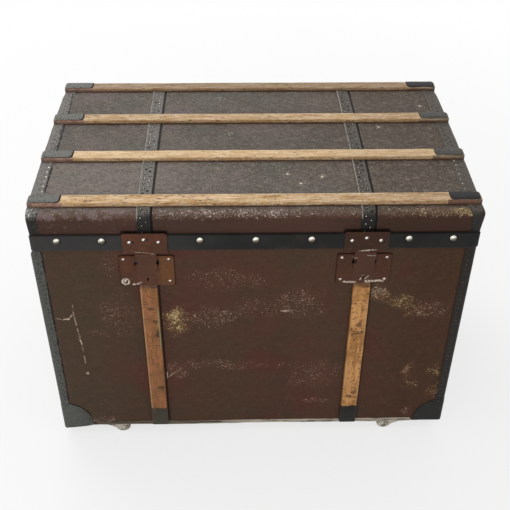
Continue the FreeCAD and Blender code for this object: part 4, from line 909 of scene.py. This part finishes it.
def upright_slats():
    for side, seed in (("left", 8), ("right", 26)):
        node = "front_slat_" + side
        low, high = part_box(node)
        rings = upright_slat(seed, (low.x + high.x) / 2, low.z, high.z, low.y, -1)
        Shape(rings).make(node + "_wood", "front_slat_wood", "trunk_body", "slat_wood", node)
    low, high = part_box("back_slats")
    x = high.x - UPRIGHT_HALF
    skins = [upright_slat(seed, place, low.z, high.z, high.y, 1) for seed, place in ((8, -x), (60, x))]
    Shape(*skins).make("back_slats_wood", "front_slat_wood", "trunk_body", "slat_wood", "back_slats")


# ---------------------------------------------------------------- sheet-metal trim on the lid
def lid_bands():
    """Strips over the lid, with a rolled bead along the left edge and a lower one at the right."""
    for side, sign in SIDES:
        rings = []
        for place, normal in lid_outline(VALANCE_TOP, LEAF_TOP):
            along = place.y + place.z
            left, right = (BAND_HALF + wobble(seed + sign, along, 30, 0.0005) for seed in (3, 13))
            section = [(-left, 0), (-left, 0.0014), (-left + 0.0006, 0.0022), (-left + 0.0018, 0.002),
                       (-left + 0.0026, SHEET), (0, SHEET), (right - 0.0022, SHEET),
                       (right - 0.0016, 0.0013), (right - 0.0006, 0.0014), (right, 0.001), (right, 0)]
            rings.append([place + Vector((sign * BAND_X + a, 0, 0)) + normal * b for a, b in section])
        Shape(rings).make("lid_band_" + side, "black_iron", "lid",
                          replaces="lid_bands" if sign < 0 else None)


def flare(place, sign):
    """How far the edge binding has been knocked outwards: most at the front shoulder."""
    on_front, on_top, peak = (0.003, 0.005, 0.0066) if sign < 0 else (0.003, 0.0042, 0.0088)
    from_shoulder = (place - Vector((0, FRONT + 0.004, LID_TOP - 0.008))).length
    if place.z < LID_TOP - 0.008 and place.y < 0:
        return on_front + (peak - on_front) * max(0.0, 1 - from_shoulder / (LID_TOP - VALANCE_TOP))
    fade = min(1.0, max(0.0, (BACK - 0.03 - place.y) / 0.05))
    return on_top * fade + max(0.0, 1 - from_shoulder / 0.022) * (peak - on_top)


def lid_edge_bindings():
    for side, sign in SIDES:
        full, narrowing = (LEFT_BINDING, 0.005) if sign < 0 else (RIGHT_BINDING, 0.011)
        rings = []
        for place, normal in lid_outline(VALANCE_TOP, VALANCE_TOP):
            along = place.y * 1.3 + place.z
            width = full + wobble(21 + sign, along, 22, 0.001)
            if place.y < FRONT + SHOULDER:
                width -= narrowing * (1 - (place.y - FRONT) / SHOULDER)
            leg = 0.018 + wobble(25 + sign, along, 22, 0.0008)
            out = flare(place, sign) + wobble(27 + sign, along, 40, 0.0006)
            section = [(-width, 0), (-width, SHEET), (-width / 2, SHEET), (-0.002, SHEET * 1.2),
                       (out * 0.75, SHEET * 0.9 - out * 0.1), (out + SHEET * 0.6, -out * 0.3),
                       (out + SHEET, -0.0015 - out * 0.7), (out * 0.85 + SHEET, -leg / 2),
                       (SHEET, -leg), (0, -leg), (0, 0)]
            rings.append([place + Vector((sign * (END + a), 0, 0)) + normal * b for a, b in section])
        Shape(rings).make("lid_edge_binding_" + side, "black_iron", "lid",
                          replaces="lid_edge_bindings" if sign < 0 else None)


def lid_tacks():
    """Tacks in a zigzag along the bands and the edge bindings, left out under the slats."""
    bright, dark, rings = Shape(), Shape(), Shape()
    draw = random.Random(5)
    spacing, beside_slat = 0.0085, 0.018
    on_top = LID_TOP - 0.002

    def walk(back_low):
        """Evenly spaced places over the lid that no slat covers, with their normals and numbers."""
        outline = lid_outline(VALANCE_TOP + 0.004, back_low + 0.004, SHEET)
        travelled, number = 0.0, 0
        for (a, na), (b, nb) in zip(outline, outline[1:]):
            length = (b - a).length
            while travelled <= length:
                place = a.lerp(b, travelled / length)
                covered = any(abs(place.y - row) < beside_slat for row in SLAT_ROWS)
                if place.z <= on_top or not covered:
                    yield place, na.lerp(nb, travelled / length), number
                number += 1
                travelled += spacing
            travelled -= length

    for sign in (-1, 1):
        for place, normal, number in walk(LEAF_TOP):
            offset = 0.005 if number % 2 else -0.0045
            x = sign * BAND_X + offset + draw.uniform(-0.001, 0.001)
            shown = bright if draw.random() < (0.9 if sign < 0 else 0.5) else dark
            # A dark ring of grime and painted shade round each band tack.
            rings.dome((x, place.y, place.z), normal, 0.003, 0.0004, 9, turn=draw.random())
            shown.dome((x, place.y, place.z), normal, 0.0016, 0.0013, turn=draw.random())
    for sign in (-1, 1):
        for place, normal, number in walk(VALANCE_TOP):
            offset = (0.008, 0.0145)[number % 2] * (1.0 if sign < 0 else 1.25)
            x = sign * (END - offset + draw.uniform(-0.0008, 0.0008))
            in_front = place.z > on_top and SLAT_ROWS[0] < place.y < SLAT_ROWS[1]
            shown = bright if in_front and number % 2 else dark
            shown.dome((x, place.y, place.z), normal, 0.0017, 0.0012, turn=draw.random())
            if number % 2:
                down = place - normal.normalized() * 0.013
                side = sign * (END + SHEET + 0.4 * flare(place, sign))
                dark.dome((side, down.y, down.z), (sign, 0, 0), *TACK)
    bright.make("lid_tacks_bright", "tack", "lid", "black_iron")
    dark.make("lid_tacks_dark", "dark_tack", "lid", "black_iron")
    rings.make("lid_tack_dirt_and_shade", "dirt_and_shade", "lid", "black_iron")


def cap_skin(sign, row, half, slat_top, end, length, lift, grow, seed, margin=0.0):
    """Rings over a slat's end, its inner end rounded off most at the corner nearest the front."""
    rings, stations = [], 24

    def rounded(inward, radius):
        past = max(0.0, (inward - (length - radius)) / radius)
        return radius * (1 - math.sqrt(max(0.0, 1 - past * past)))

    for k in range(stations + 1):
        inward = length * (1 - (1 - k / stations) ** 1.6)
        outer = max(0.0, 1 - inward / 0.004) ** 2
        front = half - 0.0024 + margin - rounded(inward, 0.0065) - 0.0022 * outer
        back = half + grow - rounded(inward, 0.0018) - 0.0022 * outer
        top = slat_top + lift + wobble(seed, end - inward, 60, 0.00015) - 0.0012 * outer
        ring = [(-front, -0.0034), (-front, -0.0024), (-front + 0.0009, -0.0008), (-front + 0.003, 0),
                (0, 0.0001), (back - 0.003, 0), (back - 0.0009, -0.0008), (back, -0.0024), (back, -0.0034),
                (back - 0.002, -0.0034), (-front + 0.002, -0.0034)]
        rings.append([(sign * (end - inward), row + across, top + up) for across, up in ring])
    return rings


# How far the slat caps reach in along the left and the right, row by row from the front.
CAP_LENGTHS = {-1: (0.0598, 0.062, 0.0628, 0.063), 1: (0.0595, 0.0592, 0.0626, 0.065)}


def slat_caps():
    """A cap over each slat's end: a skin on top, a dark sheet of painted shade under its edge and a tab
    down the lid's end.
    """
    tab_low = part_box("slat_caps")[0].z
    dirt_and_shade = Shape()
    for number, row in enumerate(SLAT_ROWS, 1):
        slat_low, slat_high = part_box("lid_slat_%d" % number)
        half, end, tab_top = (slat_high.y - slat_low.y) / 2, slat_high.x + SHEET, slat_high.z - 0.001
        for side, sign in SIDES:
            seed, length = number * 2 + sign, CAP_LENGTHS[sign][number - 1]
            skin = cap_skin(sign, row, half, slat_high.z, end, length, 0.00053, SHEET, seed)
            # A dark sheet of painted shade under the cap's edge, reaching a little beyond its inner end.
            beyond = 0.0024 if sign < 0 else 0.001
            dirt_and_shade.loft(cap_skin(sign, row, half, slat_high.z, end - 0.002, length - 0.002 + beyond,
                                0.00018, SHEET - 0.0002, seed, 0.0009))
            tab = []
            for k, z in enumerate(evenly(tab_top, tab_low, 6)):
                width = half - (0.003 if k < 6 else 0.006)
                tab.append([(sign * x, row + y, z) for x, y in
                            ((slat_high.x, -width), (end, -width), (end, width), (slat_high.x, width))])
            Shape(skin, tab).make("slat_cap_%d_%s" % (number, side), "black_iron", "lid",
                                  replaces="slat_caps" if number == 1 and sign < 0 else None)
    dirt_and_shade.make("slat_cap_shade", "dirt_and_shade", "lid", "black_iron")


def valance():
    """A stiff black band round the front and the ends of the lid."""
    thick = FRONT - valance_low.y
    lip = 0.0025
    turn = 0.0045                # rounding of the band at the lid's front corners

    def section(t, seed):
        """(out, z) of the band's section at a place along it."""
        top = VALANCE_TOP + wobble(seed, t, 7, 0.0006) - 0.0005
        bottom = VALANCE_LOW + wobble(seed + 4, t, 7, 0.0006) + 0.0005
        full = thick - 0.0002 + wobble(seed + 8, t, 11, 0.0002)
        return [(0.0002, top), (full - 0.0014, top), (full - 0.0003, top - 0.0008), (full, top - 0.0022),
                (full - 0.0002, (top + bottom) / 2), (full, bottom + 0.0022),
                (full - 0.0003, bottom + 0.0008), (full - 0.001, bottom), (full - lip, bottom),
                (full - lip, lid_low.z), (0.0002, lid_low.z)]

    front = []
    for x in evenly(-END - thick, END + thick, 120):
        corner = max(0.0, abs(x) - (END + thick - turn))
        inset = turn - math.sqrt(max(0.0, turn ** 2 - corner ** 2))
        front.append([(x, FRONT - max(out - inset, 0.0001), z) for out, z in section(x, 2)])
    ends = [[[(sign * (END + out), y, z) for out, z in section(y, 30 + sign)]
             for y in evenly(FRONT, BACK, 60)] for sign in (-1, 1)]
    Shape(front, *ends).make("lid_valance_band", "valance", "lid", replaces="lid_valance")


# ---------------------------------------------------------------- sheet-metal trim on the body
def corner_wrap(sign, toward, reach, steps, out, bulge, leg):
    """Points and outward normals round a plan corner, from reach in front to leg on the end.

    bulge is how far the sheet stands off the end at the corner; it lies against the end again at leg.
    """
    y_face = FRONT if toward < 0 else BACK
    edge = END + bulge
    line = [(Vector((sign * x, y_face, 0)), Vector((0, toward, 0)), edge - x)
            for x in evenly(END - reach, edge - PLAN_CORNER, steps)]
    for angle in evenly(0, math.pi / 2, 6)[1:-1]:
        normal = Vector((sign * math.sin(angle), toward * math.cos(angle), 0))
        centre = Vector((sign * (edge - PLAN_CORNER), y_face - toward * PLAN_CORNER, 0))
        line.append((centre + normal * PLAN_CORNER, normal, 0.0))
    for depth in evenly(PLAN_CORNER, leg, steps):
        standing = END + bulge * (leg - depth) / (leg - PLAN_CORNER)
        line.append((Vector((sign * standing, y_face - toward * depth, 0)), Vector((sign, 0, 0)), depth))
    return [(place + normal * out, normal, away) for place, normal, away in line]


def stand_off(sign, toward, z):
    """How far the body's corner sheets have been knocked outwards; not at all behind the lid's band."""
    if toward > 0 or z > BINDING_TOP:
        return 0.0
    rising = (z - BASE) / (VALANCE_LOW - BASE)
    most = 0.0066 + 0.0026 * rising if sign < 0 else 0.0038 + 0.0006 * rising
    return min(most, 0.0044 + 0.45 * (BINDING_TOP - z))


def corner_bindings():
    """Angle strips up the body's four corners."""
    strips, tacks = Shape(), Shape()
    draw = random.Random(11)
    leg, foot = 0.0175, BASE + 0.002
    heights = evenly(foot, BINDING_TOP, 90) + [BINDING_TOP + 0.0006, RIM - 0.001]
    for sign, y_face, toward in CORNERS:
        seed = 50 + sign * 3 + (20 if toward > 0 else 0)
        middle = 0.0175 if toward > 0 else (0.011 if sign < 0 else 0.0158)
        rings = []
        for z in heights:
            bulge = stand_off(sign, toward, z)
            reach = middle + wobble(seed, z, 25, 0.0018) + wobble(seed + 1, z, 90, 0.0008)
            lift = SHEET + abs(wobble(seed + 2, z, 30, 0.0002))
            outer, inner = (corner_wrap(sign, toward, reach, 3, out, bulge, leg) for out in (lift, 0.0))
            rings.append([(place.x, place.y, z) for place, _, _ in outer + inner[::-1]])
        strips.loft(rings)
        z = BASE + 0.078
        while z < VALANCE_LOW - 0.006:
            jitter, bulge = draw.uniform(-0.001, 0.001), stand_off(sign, toward, z)
            tacks.dome((sign * (END - 0.0125 + bulge + jitter), y_face + toward * SHEET, z),
                       (0, toward, 0), *TACK)
            depth = 0.012 + jitter
            tacks.dome((sign * (END + SHEET + 0.45 * bulge), y_face - toward * depth, z + 0.004),
                       (sign, 0, 0), *TACK)
            z += 0.0115
    strips.make("corner_binding_strips", "black_iron", "trunk_body", replaces="corner_bindings")
    tacks.make("corner_binding_tacks", "dark_tack", "trunk_body", "black_iron")


def bottom_corners():
    """Rounded sheet corners at the foot of the body, each turned in under the bottom."""
    radius, thick = 0.068, 0.001
    leg = radius * 0.995
    caps, tacks = Shape(), Shape()
    for sign, y_face, toward in CORNERS:
        droop = 0.012 if sign < 0 and toward < 0 else 0.001
        bulge = stand_off(sign, toward, BASE)
        outer, inner = (corner_wrap(sign, toward, leg - bulge, 14, out, bulge, leg)
                        for out in (thick + SHEET, 0.0))
        rings = []
        for (place, normal, away), (under, _, _) in zip(outer, inner):
            top = BASE + math.sqrt(max(radius ** 2 - away ** 2, 1e-8))
            bottom = BASE - 0.0016 - droop * (1 - away / radius) ** 0.5
            column = evenly(bottom, top, 6)
            ring = [(place.x, place.y, z) for z in column[:-1]]
            ring.append((place.x - normal.x * 0.0006, place.y - normal.y * 0.0006, top))
            rings.append(ring + [(under.x, under.y, z) for z in reversed(column)])
        caps.loft(rings)
        corner, span = (sign * (END - 0.001), y_face - toward * 0.001), radius * 0.97
        rings = []
        for angle in evenly(0, math.pi / 2, 12):
            edge = sign * (END - span * math.cos(angle)), y_face - toward * span * math.sin(angle)
            rings.append([(*corner, BASE - 0.0007), (*edge, BASE - 0.0007),
                          (*edge, BASE - 0.0016), (*corner, BASE - 0.0016)])
        caps.loft(rings)
        for angle in evenly(0, math.pi / 2, 7)[1:-1]:
            away, up = (radius - 0.006) * math.cos(angle), (radius - 0.006) * math.sin(angle)
            tacks.dome((sign * (END + bulge - away), y_face + toward * (thick + SHEET), BASE + up),
                       (0, toward, 0), *CORNER_TACK)
            slope = bulge * (1 - (away - PLAN_CORNER) / (radius - PLAN_CORNER))
            tacks.dome((sign * (END + thick + SHEET + slope), y_face - toward * away, BASE + up),
                       (sign, 0, 0), *CORNER_TACK)
    caps.make("bottom_corner_caps", "black_iron", "trunk_body", replaces="bottom_corners")
    tacks.make("bottom_corner_tacks", "dark_tack", "trunk_body", "black_iron")


def tin_edge():
    """The wavy edge of the tin under the bottom, along the front and the back."""
    thin = 0.0006
    skins = []
    for toward, face in ((-1, FRONT), (1, BACK)):
        rings = []
        for x in evenly(-END + 0.05, END - 0.05, 180):
            drop = 0.0046 + wobble(71 + toward, x, 14, 0.0026) + wobble(73 + toward, x, 40, 0.001)
            proud = 0.0014 + wobble(75 + toward, x, 16, 0.001)
            section = [(-0.002, 0.0006), (proud, 0.0004), (proud + thin, drop / 2), (proud, drop),
                       (proud - thin, drop), (proud - thin, drop / 2), (proud - 2 * thin, 0.0012),
                       (-0.002, 0.0012)]
            rings.append([(x, face + toward * out, BASE - down) for out, down in section])
        skins.append(rings)
    Shape(*skins).make("tin_edge", "tin", "trunk_body")


# ---------------------------------------------------------------- nails and screws
def nail_heads():
    """Domed nails along the valance, each in a ring of grime."""
    low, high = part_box("valance_nails")
    face, end_face = valance_low.y, valance_high.x
    z, radius, rise = (low.z + high.z) / 2, (high.z - low.z) / 2, face - low.y
    sunk = 0.0004
    places = [((x, face + sunk, z), (0, -1, 0)) for x in (0.0, -0.108, 0.108, -0.297, 0.297, -0.383, 0.383)]
    places += [((sign * (end_face - sunk), y - sunk, z), (sign, 0, 0)) for y in (-0.19, 0.0, 0.19)
               for sign in (-1, 1)]
    heads, rings = Shape(), Shape()
    for place, normal in places:
        heads.dome(place, normal, radius, rise, 20, 6)
        rings.dome(place, normal, radius + 0.0014, 0.0008, 20)
    heads.make("valance_nail_heads", "nickel", "lid", replaces="valance_nails")
    rings.make("valance_nail_grime", "dirt_and_shade", "lid", "valance")


def screws():
    """Domed screws through the hinge leaves and the handles' plates."""
    leaf_face, plate_face, plate_z = BACK + 0.002, END + 0.0016, BASE + 0.33
    for name, body, turn in (("body", "trunk_body", -1), ("lid", "lid", 1)):
        places = [((sign * UPRIGHT_X + across, leaf_face, RIM + turn * up), (0, 1, 0)) for sign in (-1, 1)
                  for across, up in ((-0.019, 0.018), (0.019, 0.018), (0.0, 0.04))]
        if name == "body":
            places += [((sign * plate_face, side * 0.07 + across, plate_z + up), (sign, 0, 0))
                       for sign in (-1, 1) for side in (-1, 1)
                       for across in (-0.0125, 0.0125) for up in (-0.0165, 0.0165)]
        heads, rings = Shape(), Shape()
        for place, normal in places:
            rings.dome(place, normal, 0.004, 0.0003, 12)
            heads.dome(place, normal, 0.0031, 0.0013, 12, 3)
        heads.make(name + "_screws", "dark_tack", body, "black_iron")
        rings.make(name + "_screw_grime", "dirt_and_shade", body, "black_iron")


# ---------------------------------------------------------------- locks, hasps, hinges, handles
def hardware():
    """Plates, leaves and brackets: the frame's own forms with their edges softened."""
    for side, _ in SIDES:
        refined("lock_plate_" + side, "lock_paint", "trunk_body", 0.0008)
        refined("hasp_" + side, "lock_paint", "hasp_" + side, 0.0006)
    refined("lock_nails", "lock_nail", "trunk_body", 0.0001)
    refined("hasp_plates", "lock_paint", "lid", 0.0006)
    refined("hasp_rivets", "rivet", "lid", 0.0001)
    refined("hasp_pins", "steel", "lid", 0.0003)
    refined("slat_foot_caps", "black_iron", "trunk_body", 0.0006)
    refined("handle_brackets", "black_iron", "trunk_body", 0.0006)
    refined("hinge_body_leaves", "black_iron", "trunk_body", 0.0005)
    refined("hinge_lid_leaves", "black_iron", "lid", 0.0005)
    refined("hinge_pins", "steel", "trunk_body", 0.0006)
    refined("lock_cases", "steel", "trunk_body", 0.0008)


def handle_grips():
    """Leather wrapped round the handle's bar, fuller in its middle and sewn underneath."""
    around, seam_at = 28, 21
    for side, sign in SIDES:
        node = "handle_grip_" + side
        low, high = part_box(node)
        centre, half, radius = (low + high) / 2, (high.y - low.y) / 2, (high.z - low.z) / 2
        rings = []
        for t in evenly(-1, 1, 60):
            swell = (0.93 + 0.07 * math.cos(t * math.pi / 2)) * min(1.0, 0.72 + 14 * (1 - abs(t)))
            ring = []
            for step in range(around):
                angle = 2 * math.pi * step / around
                out, up = math.cos(angle), math.sin(angle)
                crease = 0.0004 * noise.noise(Vector((t * 9, out, up + sign)))
                reach = radius * swell * 0.98 + crease - (0.0006 if step == seam_at else 0.0)
                ring.append((centre.x + reach * out, centre.y + half * t, centre.z + reach * up))
            rings.append(ring)
        Shape(rings).make(node + "_leather", "leather", "handle_" + side, replaces=node)


# The frame's own solids that show as they are, by material.
CAD_FINISH = {
    "body_canvas": ("body_canvas",),
    "lid_canvas": ("lid_canvas",),
    "tin": ("bottom_sheet",),
    "lining": ("lid_lining", "body_lining"),
    "board_wood": ("back_board", "front_board", "left_end_board", "right_end_board", "bottom_board",
                   "bottom_battens", "lid_top_panel", "lid_front_rail", "lid_back_rail", "lid_left_end",
                   "lid_right_end"),
    "steel": ("lock_bolt_left", "lock_bolt_right", "stay_arm_left", "stay_arm_right", "stay_pivots",
              "stay_studs"),
    "black_iron": ("handle_bail_left", "handle_bail_right"),
    "caster": ("roller_housings", "roller_front_left", "roller_front_right", "roller_back_left",
               "roller_back_right"),
}


def dress_cad_nodes():
    for material, nodes in CAD_FINISH.items():
        for node in nodes:
            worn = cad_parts[node].data.materials
            worn.clear()
            worn.append(MATERIALS[material])


# ---------------------------------------------------------------- floor, light, camera
def floor():
    """White to the camera and in reflections; a plain pale grey to the light on the object."""
    f = Finish("pale_floor", specular=0.1)
    f.shader.inputs["Base Color"].default_value = (0.8, 0.8, 0.79, 1)
    f.shader.inputs["Roughness"].default_value = 0.9
    far = f.vector("LENGTH", f.place, output=1).step(0.9, 2.6)
    white = f.node("Emission", {"Color": (1, 1, 1, 1)})
    share = f.seen_directly() * (far * 0.3 + 0.7)
    blend = f.node("MixShader", {0: share, 1: Value(f, f.shader.outputs[0]), 2: white})
    f.put(f.tree.nodes["Material Output"].inputs["Surface"], blend)
    bpy.ops.mesh.primitive_plane_add(size=14, location=(0, 0, -0.0003))
    plane = bpy.context.object
    plane.name = "floor"
    plane.data.materials.append(f.material)


def backdrop():
    """White to the camera and in reflections; to the object, light from above, the left and behind."""
    world = bpy.data.worlds.new("studio")
    room = Nodes(world)
    towards = room.vector("DOT_PRODUCT", room.node("TexCoord", {}, "Generated"),
                          Vector((-0.55, 0.35, 0.76)).normalized(), output=1)
    grey = room.node("MapRange", {"Value": towards, "From Min": -0.35, "From Max": 0.75,
                                  "To Min": 0.344, "To Max": 0.943}, "Result")
    room.put(room.tree.nodes["Background"].inputs["Color"], largest(grey, room.seen_directly()))
    bpy.context.scene.world = world


def lamp(name, place, target, size, power):
    light = bpy.data.lights.new(name, "AREA")
    light.shape = "RECTANGLE"
    light.size, light.size_y = size
    light.energy = power
    holder = bpy.data.objects.new(name, light)
    holder.location = place
    holder.rotation_euler = (Vector(target) - Vector(place)).to_track_quat("-Z", "Y").to_euler()
    bpy.context.scene.collection.objects.link(holder)


def camera(place, turns, focal_length):
    """A camera at this place, turned by yaw, pitch and roll in degrees, on a 36 mm sensor."""
    yaw, pitch, roll = (math.radians(turn) for turn in turns)
    forward = Vector((math.sin(yaw) * math.cos(pitch), math.cos(yaw) * math.cos(pitch), -math.sin(pitch)))
    level = Vector((math.cos(yaw), -math.sin(yaw), 0))
    lift = level.cross(forward)
    right = level * math.cos(roll) + lift * math.sin(roll)
    up = lift * math.cos(roll) - level * math.sin(roll)
    lens = bpy.data.cameras.new("camera")
    lens.lens, lens.sensor_width = focal_length, 36
    holder = bpy.data.objects.new("camera", lens)
    holder.matrix_world = Matrix.Translation(place) @ Matrix((right, up, -forward)).transposed().to_4x4()
    bpy.context.scene.collection.objects.link(holder)
    bpy.context.scene.camera = holder
    bpy.context.scene.view_settings.view_transform = "Standard"


# ---------------------------------------------------------------- the whole
# Place, yaw, pitch and roll, and focal length, as fitted to the photograph.
camera((-0.04089, -1.58108, 1.53502), (1.7243, 37.8147, 0.5417), 59.5519)
floor()
backdrop()
lamp("soft_box", (-1.1, 1.5, 2.3), (0, 0, 0.4), (1.8, 1.4), 26)
lamp("front_fill", (-0.4, -2.6, 1.6), (0, -0.2, 0.3), (2.4, 1.6), 20)
dress_cad_nodes()
lid_slats()
upright_slats()
lid_bands()
lid_edge_bindings()
lid_tacks()
slat_caps()
valance()
corner_bindings()
bottom_corners()
tin_edge()
nail_heads()
hardware()
screws()
handle_grips()
